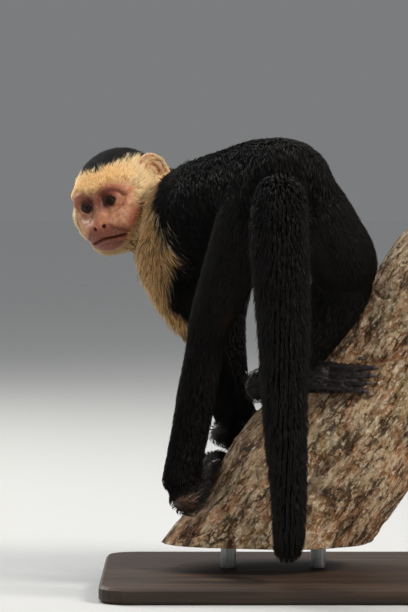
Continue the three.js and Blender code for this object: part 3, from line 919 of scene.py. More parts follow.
BLACK_HAIR = [(0.0045, 0.0040, 0.0040), (0.019, 0.016, 0.015)]
RUST_HAIR = (0.13, 0.050, 0.026)
PALE_HAIR = (0.88, 0.70, 0.42)
GOLD_HAIR = (0.85, 0.50, 0.185)
PALE_TIP = (0.92, 0.82, 0.62)
DARK_UNDERCOAT = (0.12, 0.060, 0.026)
# Painted shade deep in the coat, darkening each tuft towards its root:
ROOT_SHADE = [(0.5, 0.5, 0.5), (0.72, 0.60, 0.46)]   # of black and of cream hair
SKIN_SHADE = (0.62, 0.52, 0.42)   # of the skin under the coat


def coat_colour(finish, tone):
    """The coat's colour, the same on the skin and on the tufts over it. tone is a random number."""
    cream, warm = finish.attribute("cream"), finish.attribute("warm")
    black = finish.mix(finish.range(tone, 0.3, 1.0), *BLACK_HAIR)
    black = finish.mix(warm, black, RUST_HAIR)
    pale = finish.mix(finish.sum(warm, finish.range(tone, 0, 1, -0.3, 0.3)), PALE_HAIR, GOLD_HAIR)
    return finish.mix(cream, black, pale)


def coat_material():
    finish = Finish("coat", Roughness=0.5, Specular_IOR_Level=0.16)
    tone, along, cream = (finish.attribute(key) for key in ("tone", "along", "cream"))
    grizzle = finish.times(cream, finish.attribute("grizzle"))
    ticked = finish.times(grizzle, finish.range(tone, 0.76, 0.84))
    tipped = finish.times(grizzle, finish.range(tone, 0.35, 0.25))
    colour = finish.over(
        coat_colour(finish, tone),
        (finish.times(tipped, finish.range(along, 0.5, 0.9, 0, 0.85)), PALE_TIP),
        (finish.times(ticked, finish.range(along, 1.0, 0.7, 0.7, 1)), DARK_UNDERCOAT),
        (finish.times(grizzle, finish.range(along, 0.6, 0.2, 0, 0.4)), DARK_UNDERCOAT),
    )
    # Painted shade deep in the coat: each tuft darkens from its middle down to its root.
    shaded = finish.mix(1.0, colour, finish.mix(cream, *ROOT_SHADE), "MULTIPLY")
    colour = finish.mix(finish.range(along, 0.5, 0.0), colour, shaded)
    return finish.done(colour, roughness=finish.range(tone, 0, 1, 0.50, 0.70))


FACE_SKIN = [(0.42, 0.17, 0.085), (0.62, 0.31, 0.18)]
# Colour of the face's painted shade, which also deepens the skin's own darker tone round the eyes.
PAINTED_SHADE_SKIN = (0.10, 0.018, 0.008)
LIP_SKIN = (0.22, 0.066, 0.040)
ROSY_SKIN = (0.52, 0.145, 0.075)
# The lid rims' own dark colour, also used as painted shade in the mouth's slit and the nostrils.
RIM_SKIN_AND_SLIT_SHADE = (0.030, 0.012, 0.011)
PAW_SKIN = [(0.012, 0.009, 0.010), (0.040, 0.029, 0.030)]
HEEL_SKIN = (0.20, 0.105, 0.065)


def skin_material():
    settings = {"Specular_IOR_Level": 0.3, "Subsurface_Weight": 0.06, "Subsurface_Scale": 0.003}
    finish = Finish("skin", Roughness=0.5, **settings)
    bare, on_paw = finish.attribute("bare"), finish.attribute("paw")
    blotch = finish.noise(260, 4)
    coat = finish.mix(1.0, coat_colour(finish, finish.noise(900, 2)), SKIN_SHADE, "MULTIPLY")
    # The face's painted shade, and the painted shade in the mouth's slit and the nostrils, go over the
    # skin's own colours; the lid rims have their own dark colour.
    tints = {"lip": LIP_SKIN, "rosy": ROSY_SKIN, "painted_shade": PAINTED_SHADE_SKIN, "rims": RIM_SKIN_AND_SLIT_SHADE, "dark": RIM_SKIN_AND_SLIT_SHADE}
    face = finish.over(
        finish.mix(finish.range(blotch, 0.35, 0.65), *FACE_SKIN),
        *((finish.attribute(key), tint) for key, tint in tints.items()),
    )
    paw = finish.mix(finish.range(blotch, 0.3, 0.7), *PAW_SKIN)
    paw = finish.mix(finish.attribute("heel"), paw, HEEL_SKIN)
    relief = finish.sum(finish.times(finish.cells(1500), 0.35), finish.noise(420, 5, rough=0.65))
    naked = finish.math("MAXIMUM", bare, on_paw)
    return finish.done(
        finish.over(coat, (bare, face), (on_paw, paw)),
        finish.bump(relief, 0.0006, finish.range(naked, 0, 1, 0.9, 0.45)),
        finish.range(naked, 0, 1, 0.75, 0.44),
    )


IRIS = [(0.014, 0.006, 0.003), (0.065, 0.025, 0.010)]
IRIS_RIM = (0.008, 0.004, 0.003)
EYE_WHITE = [(0.020, 0.009, 0.007), (0.045, 0.022, 0.017)]
PUPIL = (0.002, 0.002, 0.002)


def eye_material():
    settings = {"Specular_IOR_Level": 0.1, "Coat_Weight": 0.25, "Coat_Roughness": 0.02, "Coat_IOR": 1.34}
    finish = Finish("eye", Roughness=0.5, **settings)
    reach = finish.attribute("reach")
    fibres = finish.noise(7, 4, finish.attribute("fibre", "Vector"), 0.7)
    white = finish.mix(finish.noise(500), *EYE_WHITE)
    return finish.done(finish.over(
        finish.mix(finish.range(fibres, 0.35, 0.65), *IRIS),
        (finish.range(reach, 3.6, 4.9), IRIS_RIM),
        (finish.range(reach, 4.9, 5.6), white),
        (finish.range(reach, 2.5, 2.1), PUPIL),
    ))


NAIL_HORN = [(0.012, 0.009, 0.009), (0.036, 0.028, 0.026)]


def nail_material():
    finish = Finish("nail", Roughness=0.5, Specular_IOR_Level=0.3)
    streaks = finish.noise(500, 4, finish.place((1, 1, 0.3)))
    colour = finish.mix(finish.range(streaks, 0.3, 0.7), *NAIL_HORN)
    return finish.done(colour, finish.bump(streaks, 0.0002, 0.5))


BRANCH_SLOPE = 54          # degrees
BARK_WARP = (0.011, 0.011, 0.011)   # how far the plates' outlines are bent, in metres
PLATES = [(85, 0.6), (210, 0.6)]   # of bark: how many to a metre, and how strongly they show
BARK = [(0.52, 0.225, 0.090), (0.46, 0.31, 0.155)]
PALE_BARK, DARK_BARK = (0.64, 0.50, 0.32), (0.22, 0.090, 0.038)
ALGAE = (0.21, 0.18, 0.065)
SCURF = [(0.84, 0.75, 0.58), (0.070, 0.034, 0.016)]
INNER_BARK = (0.24, 0.085, 0.032)
# Near-black of the cracks, also painted as shade on the steps between flaking layers.
CRACK_AND_STEP_SHADE = (0.030, 0.015, 0.008)
CUT_WOOD = [(0.50, 0.33, 0.18), (0.27, 0.15, 0.075)]
WOOD_CHECK = (0.16, 0.09, 0.05)
RING_WAVES = 2.1           # of growth rings, in radians to a millimetre


def bark_material():
    finish = Finish("bark", Roughness=0.9, Specular_IOR_Level=0.15)
    lengthwise = finish.stretched(BRANCH_SLOPE, 2.4)
    warp = finish.noise(140, 5, lengthwise, 0.7, "Color")
    bent = finish.add("VectorMath", {0: warp, 1: BARK_WARP, 2: lengthwise}, operation="MULTIPLY_ADD")
    scurf = finish.noise(330, 6, finish.stretched(BRANCH_SLOPE, 1.8), 0.8)
    blotch = finish.noise(26, 5, finish.stretched(BRANCH_SLOPE, 1.8), 0.65)
    closed = finish.range(finish.noise(90, 4, lengthwise), 0.40, 0.62, -0.03, 0.09)
    colour = finish.mix(finish.range(blotch, 0.40, 0.60), *BARK)
    # crack holds the cracks and the painted shade on the steps between flaking layers.
    crack = finish.range(finish.attribute("crack"), 0.5, 1.0, 0, 0.6)
    for scale, share in PLATES:
        tone = finish.cells(scale, bent, "Color")
        colour = finish.over(
            colour,
            (finish.range(tone, 0.50, 0.75, 0, share), PALE_BARK),
            (finish.range(tone, 0.48, 0.25, 0, share), DARK_BARK),
        )
        gap = finish.sum(finish.cells(scale, bent, feature="DISTANCE_TO_EDGE"), closed)
        crack = finish.math("MAXIMUM", crack, finish.range(gap, 0.06, 0.01, 0, share + 0.25))
    colour = finish.over(
        colour,
        (finish.range(blotch, 0.56, 0.68, 0, 0.45), ALGAE),
        (finish.range(scurf, 0.53, 0.60, 0, 0.85), SCURF[0]),
        (finish.range(scurf, 0.46, 0.39, 0, 0.85), SCURF[1]),
        (finish.range(finish.attribute("layer"), 0.3, 0.1, 0, 0.5), INNER_BARK),
        (crack, CRACK_AND_STEP_SHADE),
    )
    rings = finish.math("SINE", finish.times(finish.attribute("ring"), RING_WAVES))
    growth = finish.sum(finish.times(rings, 0.5), finish.times(scurf, 1.2))
    wood = finish.over(
        finish.mix(finish.range(growth, 0.1, 1.1), *CUT_WOOD),
        (finish.range(finish.noise(60, 3), 0.62, 0.75, 0, 0.5), WOOD_CHECK),
    )
    cut = finish.attribute("cut")
    relief = finish.sum(scurf, finish.times(crack, -0.8))
    normal = finish.bump(relief, 0.004, finish.range(cut, 0, 1, 1.0, 0.1))
    return finish.done(finish.mix(cut, colour, wood), normal)


STAND_WOOD = [(0.026, 0.015, 0.0095), (0.085, 0.050, 0.030)]
WOOD_PORE = (0.012, 0.008, 0.006)
STEEL = [(0.24, 0.245, 0.25), (0.42, 0.43, 0.44)]


def base_material():
    finish = Finish("base_wood", Specular_IOR_Level=0.35)
    grain = finish.noise(14, 6, finish.place((0.35, 6, 6)), 0.6)
    pores = finish.noise(240, 2, finish.place((0.06, 1, 1)))
    colour = finish.over(
        finish.mix(finish.range(grain, 0.35, 0.65), *STAND_WOOD),
        (finish.range(pores, 0.6, 0.75, 0, 0.6), WOOD_PORE),
    )
    return finish.done(colour, finish.bump(pores, 0.0002, 0.4), finish.range(grain, 0.3, 0.7, 0.50, 0.65))


def rod_material():
    finish = Finish("rod_steel", Metallic=1.0, Roughness=0.3)
    lines = finish.noise(900, 3, finish.place((1, 1, 0.02)))
    roughness = finish.range(lines, 0.3, 0.7, 0.22, 0.42)
    return finish.done(finish.mix(lines, *STEEL), finish.bump(lines, 0.0001, 0.3), roughness)


# ---- finished skin ----------------------------------------------------------

LIP_OVAL = [0, -26], [23, 14]      # of the face, in mm to the side and up


def put_floats(thing, **attributes):
    """Stores numbers or vectors on the points of a piece."""
    for name, values in attributes.items():
        values = np.asarray(values, np.float32)
        kind, field = ("FLOAT", "value") if values.ndim == 1 else ("FLOAT_VECTOR", "vector")
        attribute = thing.data.attributes.new(name, kind, "POINT")
        attribute.data.foreach_set(field, values.ravel())


def dress(thing, material, replaced=()):
    """Gives a piece its material, sets it riding, and hides the nodes it stands for."""
    thing.data.materials.clear()
    thing.data.materials.append(material)
    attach(thing, "root")
    if replaced:
        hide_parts(*replaced)


skin_points = mesh_points(skin.data).astype(float) / MM
skin_triangles = mesh_triangles(skin.data)
skin_weights, skin_place = survey(skin_points)
skin_inside, skin_warm = markings(skin_points, skin_weights)
skin_head = to_head(skin_points)
near_head = smoothstep(0.1, 0.5, share_of(skin_weights, "head"))
zones = {key: value * near_head for key, value in face_zones(skin_head).items()}


def finish_skin():
    across, forward, up = skin_head.T
    (side, height), (half_width, half_height) = LIP_OVAL
    from_lips = np.hypot((across - side) / half_width, (up - height) / half_height)
    put_floats(
        skin,
        **{key: zones[key] for key in ("bare", "painted_shade", "rims", "rosy", "dark")},
        lip=smoothstep(1.15, 0.75, from_lips) * near_head * smoothstep(15, 30, forward),
        cream=smoothstep(-1.5, 1.5, skin_inside),
        warm=skin_warm,
        grizzle=grizzled(skin_points, skin_weights),
        paw=smoothstep(0.35, 0.8, sum(share_of(skin_weights, paw) for paw in PAWS)),
        heel=hump(np.linalg.norm(skin_points - HEEL, axis=1), 0, HEEL_WIDTH),
    )
    dress(skin, skin_material(), [*FLESH, "ear_L", "ear_R"])


# ---- tubes: eyes and nails --------------------------------------------------

def tube_faces(rows, sides):
    """Triangles of a closed tube of rings of points, with a fan at each end."""
    row, side = np.meshgrid(np.arange(rows - 1), np.arange(sides), indexing="ij")
    a = row * sides + side
    b = row * sides + (side + 1) % sides
    halves = [a, b, b + sides], [a, b + sides, a + sides]
    wall = np.concatenate([np.stack(half, -1).reshape(-1, 3) for half in halves])
    fan = np.array([[0, k + 1, k] for k in range(1, sides - 1)])
    last = fan[:, ::-1] + (rows - 1) * sides
    return np.concatenate([wall, fan, last])


def circle(sides):
    """Angles, in radians, evenly round a circle."""
    return np.arange(sides) / sides * 2 * math.pi


EYE_ROWS, EYE_SIDES = 40, 48
POLE = 0.004               # angle between a pole of the eye and its nearest ring
CORNEA = {"angle": 34, "bulge": 0.55}


def add_eye(name, side):
    """A slightly bulging ball turned to look along the head's y."""
    angle = np.linspace(POLE, math.pi - POLE, EYE_ROWS)[:, None]
    turn = circle(EYE_SIDES)[None]
    radius = EYE["radius"] + CORNEA["bulge"] * smoothstep(math.radians(CORNEA["angle"]), 0, angle)
    reach, depth = radius * np.sin(angle), radius * np.cos(angle)
    rings = np.stack(np.broadcast_arrays(reach * np.cos(turn), depth, reach * np.sin(turn)), -1)
    points = from_head(rings.reshape(-1, 3) + [side * EYE["side"], EYE["forward"], EYE["up"]])
    eye = new_mesh(name, points, outward(points, tube_faces(EYE_ROWS, EYE_SIDES)))
    on_front = np.broadcast_to(np.where(angle < math.pi / 2, reach, EYE["radius"]), rings.shape[:2])
    fibre = np.stack(np.broadcast_arrays(np.cos(turn), np.sin(turn), reach / EYE["radius"]), -1)
    put_floats(eye, reach=on_front.ravel(), fibre=fibre.reshape(-1, 3))
    return eye


NAIL = {"length": 5.5, "half_width": 1.7, "arch": 1.0, "thick": 0.6, "hook": 0.06, "rows": 9, "sides": 12}


def nail_rings(knuckle, tip, radius):
    """Rings of a narrow, arched nail on the end of a digit, hooked down over its tip."""
    ahead = unit(tip - knuckle)
    away = tip - branch_line[np.linalg.norm(branch_line - tip, axis=1).argmin()]
    up = unit(away - (away @ ahead) * ahead)
    side = np.cross(ahead, up)
    step = np.linspace(0, 1, NAIL["rows"])
    forward = (step - 0.4) * NAIL["length"] + radius * 0.7
    drop = NAIL["hook"] * np.maximum(forward, 0) ** 2
    half = NAIL["half_width"] * np.sqrt(np.clip(1 - step**3 * 0.75, 0, 1))
    middle = tip + ahead * forward[:, None] + up * (radius * 0.5 - drop)[:, None]
    turn = circle(NAIL["sides"])
    rise = np.where(np.sin(turn) > 0, NAIL["arch"], NAIL["thick"]) * np.sin(turn)
    return middle[:, None] + half[:, None, None] * np.cos(turn)[:, None] * side + rise[:, None] * up


def add_nails():
    points, faces = [], []
    template = tube_faces(NAIL["rows"], NAIL["sides"])
    for name, paw in PAWS.items():
        for _, knuckle, tip in digits_of(name):
            rings = nail_rings(knuckle, tip, paw["radius"]).reshape(-1, 3)
            faces.append(outward(rings, template) + len(points) * len(rings))
            points.append(rings)
    return new_mesh("nails", np.concatenate(points), np.concatenate(faces))


# ---- coat -------------------------------------------------------------------

# Each coat piece: the regions it grows on, how many tufts, how wide they are in mm, and its slot.
COATS = {
    "coat_loin": (["trunk"], 17500, 0.95, "coat_black"),
    "coat_chest": (["trunk"], 14500, 0.95, "coat_black"),
    "coat_tail": (["tail"], 16000, 1.15, "coat_black"),
    "coat_thigh_L": (["thigh_L"], 11500, 0.95, "coat_black"),
    "coat_thigh_R": (["thigh_R"], 10500, 0.95, "coat_black"),
    "coat_shanks": (["shank_L", "shank_R"], 12500, 0.85, "coat_black"),
    "coat_arm_L": (["upper_arm_L", "forearm_L"], 19500, 0.5, "coat_cream"),
    "coat_arm_R": (["upper_arm_R", "forearm_R"], 6000, 0.95, "coat_cream"),
    "coat_neck": (["neck"], 5500, 0.7, "coat_cream"),
    "coat_crown": (["head"], 8500, 0.5, "coat_black"),
    "coat_cheeks": (["head"], 19500, 0.36, "coat_cream"),
    "coat_paws": (list(PAWS), 7500, 0.55, "coat_black"),
}
SPREAD = {"body": 0.05, "head": 0.06, "tail": 0.15}   # how much the tufts' directions differ
# How much they hang, and how much more where they lie towards -Y. Those of the head don't.
DROOP = {"trunk": 0.7, "elsewhere": 0.22, "outward": 0.8}
SWIRL = {"scale": 30, "by": 0.09}   # slow changes in the lie of the coat
CLUMP = 9                  # tufts that lean together
CLUMP_PULL = {"middle": 0.12, "tip": 0.3}
LOOSER = {"head": 0.5, "tail": 0.7, "tail_root": 0.9}   # by what share less they lean there
STRAY = {"share": 0.04, "longer": 1.15, "higher": 1.25, "narrower": 0.5}   # thin tufts that stand out
THICKNESS = 0.5            # of a tuft, in widths
SUNK = 0.6                 # how deep the roots lie in the skin, in mm
MIDDLE_RISE = 0.72         # of a tuft's middle, in rises of its tip
GROIN = {"at": [14, -65, 288], "width": 28, "higher": 9, "longer": 10}   # closes the gap by the tail
TAIL_ROOT = {"at": [-15, -150, 345], "width": 45}   # tufts keep apart here and flow over the bend
FRINGE = {"length": 12, "higher": 6, "from": 312, "to": 285}   # the shaggy cream of the throat
# Length of the head's hair and height of its tips by the face, in mm, and how much more behind it.
HEAD_HAIR = {"length": 4.5, "longer": 8.0, "rise": 1.4, "higher": 3.4}
BEARD = {"length": 11, "higher": 4}
CHEEK_RUFF = 2.5           # how much higher the hair stands on the far cheek
BARE_HAIR = {"length": 2.2, "rise": 0.5, "narrower": 0.45}
EAR_HAIR = {"length": 7.5, "rise": 1.8}
NOSE_TIP = [0, 46, -12]
HAIRLESS = {"eye": 9.5, "front": 20}   # round each eye, as seen from the front of the head
RINGS = {"root": 0.8, "middle": 1.0}   # a tuft's width there, as a share of its full width
TUFT_FACES = np.array([
    [0, 1, 2], [1, 0, 3], [1, 3, 4], [2, 1, 4], [2, 4, 5],
    [0, 2, 5], [0, 5, 3], [4, 3, 6], [5, 4, 6], [3, 5, 6],
])
TUFT_ALONG = [0, 0, 0, 0.5, 0.5, 0.5, 1]
PATCH = 0.003              # side of a tuft's patch on the OFBake map
PATCH_CORNERS = np.array([[-1, -1], [1, -1], [0, -1], [-1, 0], [1, 0], [0, 0], [0, 1]]) * PATCH / 2


def head_lie(head_points):
    """Which way the hair of the head is combed: away from the nose, back, and down on the cheeks."""
    z = head_points[:, 2]
    back = np.zeros_like(head_points)
    back[:, 1] = -1
    back[:, 2] = -0.55 * smoothstep(6, -22, z)
    return unit(unit(back) + 0.45 * unit(head_points - NOSE_TIP))


def head_hair(head_points):
    """Length of the hair on the head, how high its tips rise, and how bare the skin is there."""
    x, y, z = head_points.T
    bare = face_zones(head_points)
    from_face = smoothstep(30, -4, y)
    beard = smoothstep(-33, -39, z) * smoothstep(50, 42, y)
    by_ear = smoothstep(9, 2, ear_skin(x, y, z))
    length = mix(HEAD_HAIR["length"] + HEAD_HAIR["longer"] * from_face, BEARD["length"], beard)
    rise = HEAD_HAIR["rise"] + HEAD_HAIR["higher"] * from_face + BEARD["higher"] * beard
    rise = rise + CHEEK_RUFF * smoothstep(22, 34, x) * smoothstep(6, -4, z)
    length = mix(length, BARE_HAIR["length"], bare["bare"]) * (1 - 0.45 * by_ear)
    rise = mix(rise, BARE_HAIR["rise"], bare["bare"]) * (1 - 0.4 * by_ear)
    in_ear = bare["ear"] > 0.5
    length = np.where(in_ear, EAR_HAIR["length"], length)
    return length, np.where(in_ear, EAR_HAIR["rise"], rise), bare["bare"]


def above_skin(points):
    """Height over the skin and the way out of it, from the finest field that holds each point."""
    height, out = body_field.sample(points)
    local = to_head(points)
    margin = 3 * HEAD_VOXEL
    held = ((local > np.array(HEAD_BOX[0]) + margin) & (local < np.array(HEAD_BOX[1]) - margin)).all(1)
    if held.any():
        fine, way = head_field.sample(local[held])
        height[held] = fine
        out[held] = way @ HEAD_AXES.T
    for field in paw_fields.values():
        low = (field.first + 3) * field.voxel
        high = (field.first + np.array(field.shape) - 3) * field.voxel
        held = ((points > low) & (points < high)).all(1)
        if held.any():
            fine, way = field.sample(points[held])
            closer = fine < height[held]
            index = np.flatnonzero(held)[closer]
            height[index] = fine[closer]
            out[index] = way[closer]
    return height, out


def level_with(ways, out, share=1.0):
    """The directions with their part along out taken away, or most of it."""
    return unit(ways - np.einsum("ij,ij->i", ways, out)[:, None] * out * share)


def sow(count, shares):
    """Random roots on the skin, about shares of a triangle to each square millimetre."""
    corners = skin_points[skin_triangles]
    across, along = (corners[:, k] - corners[:, 0] for k in (1, 2))
    area = np.linalg.norm(np.cross(across, along), axis=1) / 2
    total = np.cumsum(area * shares)
    mark = (np.arange(count) + rng.random(count)) / count * total[-1]
    chosen = np.minimum(np.searchsorted(total, mark), len(total) - 1)
    a, b = rng.random((2, count))
    flip = a + b > 1
    a, b = np.where(flip, 1 - a, a), np.where(flip, 1 - b, b)
    share = np.stack([1 - a - b, a, b], 1)[:, :, None]
    return (corners[chosen] * share).sum(1), chosen


def toward(root, way, length, rise):
    """A point this far along from each root, set this high above the skin."""
    point = root + way * length[:, None]
    height, out = above_skin(point)
    return point + out * np.clip(rise - height, -14, 14)[:, None], out


def clump(paths, pull):
    """Draws neighbouring tufts together towards their tips."""
    root, middle, tip = paths
    leaders = np.arange(0, len(root), CLUMP)
    tree = KDTree(len(leaders))
    for k, leader in enumerate(leaders):
        tree.insert(root[leader], k)
    tree.balance()
    mine = leaders[[tree.find(p)[1] for p in root]]
    middle = middle + (middle[mine] - middle) * CLUMP_PULL["middle"] * pull[:, None]
    tip = tip + (tip[mine] - tip) * CLUMP_PULL["tip"] * pull[:, None]
    return middle, tip


def chart(points, name):
    """Each root's place on an unwrap of the skin: round the limb, and along it."""
    if name == "head":
        local = to_head(points)
        around = np.arctan2(local[:, 0], -local[:, 2])
        along = np.arccos(np.clip(unit(local)[:, 1], -1, 1)) / math.pi
        return np.stack([around / (2 * math.pi) + 0.5, along], 1)
    middle, radius = REGIONS[name]["points"], REGIONS[name]["radius"]
    gap = points[:, None] - middle[None]
    nearest = np.linalg.norm(gap, axis=2).argmin(1)
    offset = gap[np.arange(len(points)), nearest]
    axis = tangents(middle)
    first = unit(np.cross(axis, [0.3, 0.9, 0.2]))
    second = np.cross(axis, first)
    slide, up, across = (np.einsum("ij,ij->i", offset, way[nearest]) for way in (axis, first, second))
    spacing = np.linalg.norm(np.diff(middle, axis=0), axis=1).mean()
    cap = 0.6 * radius.max()
    along = (nearest * spacing + slide + cap) / (spacing * (REGION_SAMPLES - 1) + 2 * cap)
    return np.stack([np.arctan2(across, up) / (2 * math.pi) + 0.5, np.clip(along, 0, 1)], 1)


def add_tufts(name, paths, out, width, floats, patch):
    """One mesh of closed, three-sided tufts that taper from a broad middle to the tip."""
    root, middle, tip = paths
    rings = []
    for place, after, share in ((root, middle, RINGS["root"]), (middle, tip, RINGS["middle"])):
        ahead = unit(after - root)
        side = unit(np.cross(ahead, out))
        half = side * (width * share / 2)[:, None]
        up = np.cross(side, ahead) * (width * share * THICKNESS)[:, None]
        rings += [place - half, place + half, place + up]
    points = np.stack([*rings, tip], 1).reshape(-1, 3)
    corners = len(TUFT_ALONG)
    faces = (TUFT_FACES[None] + corners * np.arange(len(root))[:, None, None]).reshape(-1, 3)
    coat = new_mesh(name, points, faces)
    floats = {key: np.repeat(values, corners) for key, values in floats.items()}
    put_floats(coat, along=np.tile(TUFT_ALONG, len(root)), **floats)
    place = np.clip(patch, PATCH, 1 - PATCH)[:, None] + PATCH_CORNERS
    layer = coat.data.uv_layers.new(name="OFBake")
    layer.data.foreach_set("uv", place.reshape(-1, 2)[faces.ravel()].astype(np.float32).ravel())
    return coat


def combed(root, out, weights, place, on_head):
    """Which way each tuft lies along the skin."""
    lie = unit(along_regions("lie", weights, place))
    lie = unit(mix(lie, head_lie(to_head(root)) @ HEAD_AXES.T, on_head[:, None]))
    droop = mix(DROOP["elsewhere"], DROOP["trunk"], share_of(weights, "trunk"))
    droop = (droop + DROOP["outward"] * np.maximum(-lie[:, 1], 0) ** 2) * (1 - on_head)
    spread = mix(SPREAD["body"], SPREAD["head"], on_head)
    spread = spread + (SPREAD["tail"] - SPREAD["body"]) * share_of(weights, "tail")
    way = lie + rng.normal(size=root.shape) * spread[:, None]
    way[:, 2] -= droop
    way += SWIRL["by"] * np.stack([wander(root, SWIRL["scale"], 31 + k) for k in range(3)], 1)
    return level_with(way, out)


def grown(root, weights, place, on_head, shaggy):
    """Each tuft's length and how high its tip rises, in mm, and its share of the piece's width."""
    count = len(root)
    short, low, bare = head_hair(to_head(root))
    length = mix(along_regions("hair", weights, place), short, on_head)
    rise = mix(along_regions("rise", weights, place), low, on_head)
    stray = rng.random(count) < STRAY["share"]
    by_groin = hump(np.linalg.norm(root - GROIN["at"], axis=1), 0, GROIN["width"])
    length = np.minimum(length, mix(length, FRINGE["length"], shaggy))
    length = length * rng.uniform(0.75, 1.15, count) * np.where(stray, STRAY["longer"], 1)
    rise = rise * rng.uniform(0.75, 1.0, count) * np.where(stray, STRAY["higher"], 1)
    rise = rise * (1 + shaggy * np.clip(rng.normal(0.1, 0.4, count), -0.3, 1))
    on_throat = smoothstep(FRINGE["from"], FRINGE["to"], root[:, 2])
    rise = rise + FRINGE["higher"] * shaggy * on_throat * rng.random(count)
    share = rng.uniform(0.7, 1.25, count) * np.where(stray, STRAY["narrower"], 1)
    share = share * (1 - BARE_HAIR["narrower"] * on_head * bare)
    return length + GROIN["longer"] * by_groin, rise + GROIN["higher"] * by_groin, share


def tuft_paths(root, way, out, length, rise, pull):
    """The roots, middles and tips of tufts that follow the skin, drawn together in clumps."""
    start = root - out * SUNK
    middle, out_middle = toward(root, way, length * 0.5, rise * MIDDLE_RISE)
    onward = level_with(unit(middle - root), out_middle, 0.8)
    tip, _ = toward(middle, onward, length * 0.5, rise)
    return [start, *clump([start, middle, tip], pull)]


def patches(root, region, columns):
    """Each tuft's place on the OFBake map, where the regions of one piece lie over one another."""
    patch = np.empty((len(root), 2))
    for number, column in enumerate(columns):
        held = region == column
        patch[held] = chart(root[held], REGION_NAMES[column])
        patch[held, 1] = (patch[held, 1] + number) / len(columns)
    return patch


def plant(name, regions, count, width):
    """Grows one coat piece on the skin of its regions."""
    columns = [REGION_NAMES.index(r) for r in regions]
    root, chosen = sow(count, tuft_shares(name, columns))
    weights, place = survey(root)
    _, out = above_skin(root)
    on_head = smoothstep(0.4, 0.9, share_of(weights, "head"))
    way = combed(root, out, weights, place, on_head)
    inside, warm = markings(root, weights)
    grizzle = grizzled(root, weights)
    length, rise, share = grown(root, weights, place, on_head, grizzle * smoothstep(0, 6, inside))
    by_tail = hump(np.linalg.norm(root - TAIL_ROOT["at"], axis=1), 0, TAIL_ROOT["width"])
    pull = 1 - LOOSER["head"] * on_head - LOOSER["tail"] * share_of(weights, "tail")
    paths = tuft_paths(root, way, out, length, rise, pull * (1 - LOOSER["tail_root"] * by_tail))
    floats = {
        "cream": smoothstep(-1.2, 1.2, inside + rng.normal(size=count) * mix(2.2, 1.0, on_head)),
        "warm": warm,
        "grizzle": grizzle,
        "tone": rng.random(count),
    }
    patch = patches(root, triangle_region[chosen], columns)
    return add_tufts(name, paths, out, width * share, floats, patch)


triangle_region = skin_weights.argmax(1)[skin_triangles[:, 0]]


def tuft_density():
    """How thickly tufts grow on each triangle of the skin."""
    bare, ear = (zones[key][skin_triangles].mean(1) for key in ("bare", "ear"))
    across, forward, up = skin_head[skin_triangles[:, 0]].T
    by_eye = np.hypot(np.abs(across) - EYE["side"], up - EYE["up"]) < HAIRLESS["eye"]
    # Fewer tufts on the dark lid rims and on the painted shade of the mouth's slit and the nostrils.
    rims_and_slit_shade = np.maximum(zones["dark"], zones["rims"])[skin_triangles[:, 0]]
    density = (1 - 0.97 * bare + 0.90 * ear) * (1 - 0.9 * rims_and_slit_shade)
    return np.where(by_eye & (forward > HAIRLESS["front"]), 0, density)


triangle_density = tuft_density()


def tuft_shares(name, columns):
    """The density on the triangles of one coat piece, and 0 elsewhere."""
    mine = np.isin(triangle_region, columns)
    place = skin_place[skin_triangles[:, 0], triangle_region]
    black = skin_inside[skin_triangles].mean(1) < 1.5
    halves = {
        "coat_loin": place < 0.5,
        "coat_chest": place >= 0.5,
        "coat_crown": black,
        "coat_cheeks": ~black,
    }
    return (mine & halves.get(name, True)) * triangle_density


def add_coat():
    material = coat_material()
    for name, (regions, count, width, slot) in COATS.items():
        dress(plant(name, regions, count, width), material)


# ---- bark and stand ---------------------------------------------------------

BARK_ROWS, BARK_SIDES, CUT_ROWS = 290, 264, 16
# Layers of roughness: waves round the branch, their length along it in mm, how high, and the seed.
ROUGHNESS = [(14, 60, 1.0, 41), (34, 30, 0.9, 42), (80, 14, 0.75, 43), (150, 7, 0.5, 44)]
SKEW = [(9, 70, 0.10, 61), (40, 18, 0.03, 62)]   # the same, of how far the pattern turns, in radians
SPIRAL = 0.0012            # how much it turns with every mm along the branch
CRACKS = [(20, 70, 2.2, 51), (44, 34, 1.6, 52)]   # the same, with how deep in place of how high
CRACK_WIDTH = 0.07         # in heights of the ripple whose zero it follows
FLAKE = 0.9                # height of a layer of flaking bark
SUNK_BARK = 1.6            # how far the whole relief is lowered
UNDER_DIGITS = {"deep": 2.2, "width": 9}


def ripple(along, angle, around, long, seed):
    """Smooth random heights of about -1 to 1 on the branch's surface, without a seam round it."""
    draw = np.random.default_rng(seed)
    heights = draw.uniform(-1, 1, (int(branch_length / long) + 5, around))
    u, v = angle / (2 * math.pi) * around, along / long + 1
    column, row = np.floor(u).astype(int), np.clip(np.floor(v).astype(int), 0, len(heights) - 2)
    a, b = smoothstep(0, 1, u - column), smoothstep(0, 1, v - row)
    left, right = column % around, (column + 1) % around
    low = mix(heights[row, left], heights[row, right], a)
    high = mix(heights[row + 1, left], heights[row + 1, right], a)
    return mix(low, high, b)


def ripples(along, angle, layers):
    return sum(high * ripple(along, angle, around, long, seed) for around, long, high, seed in layers)


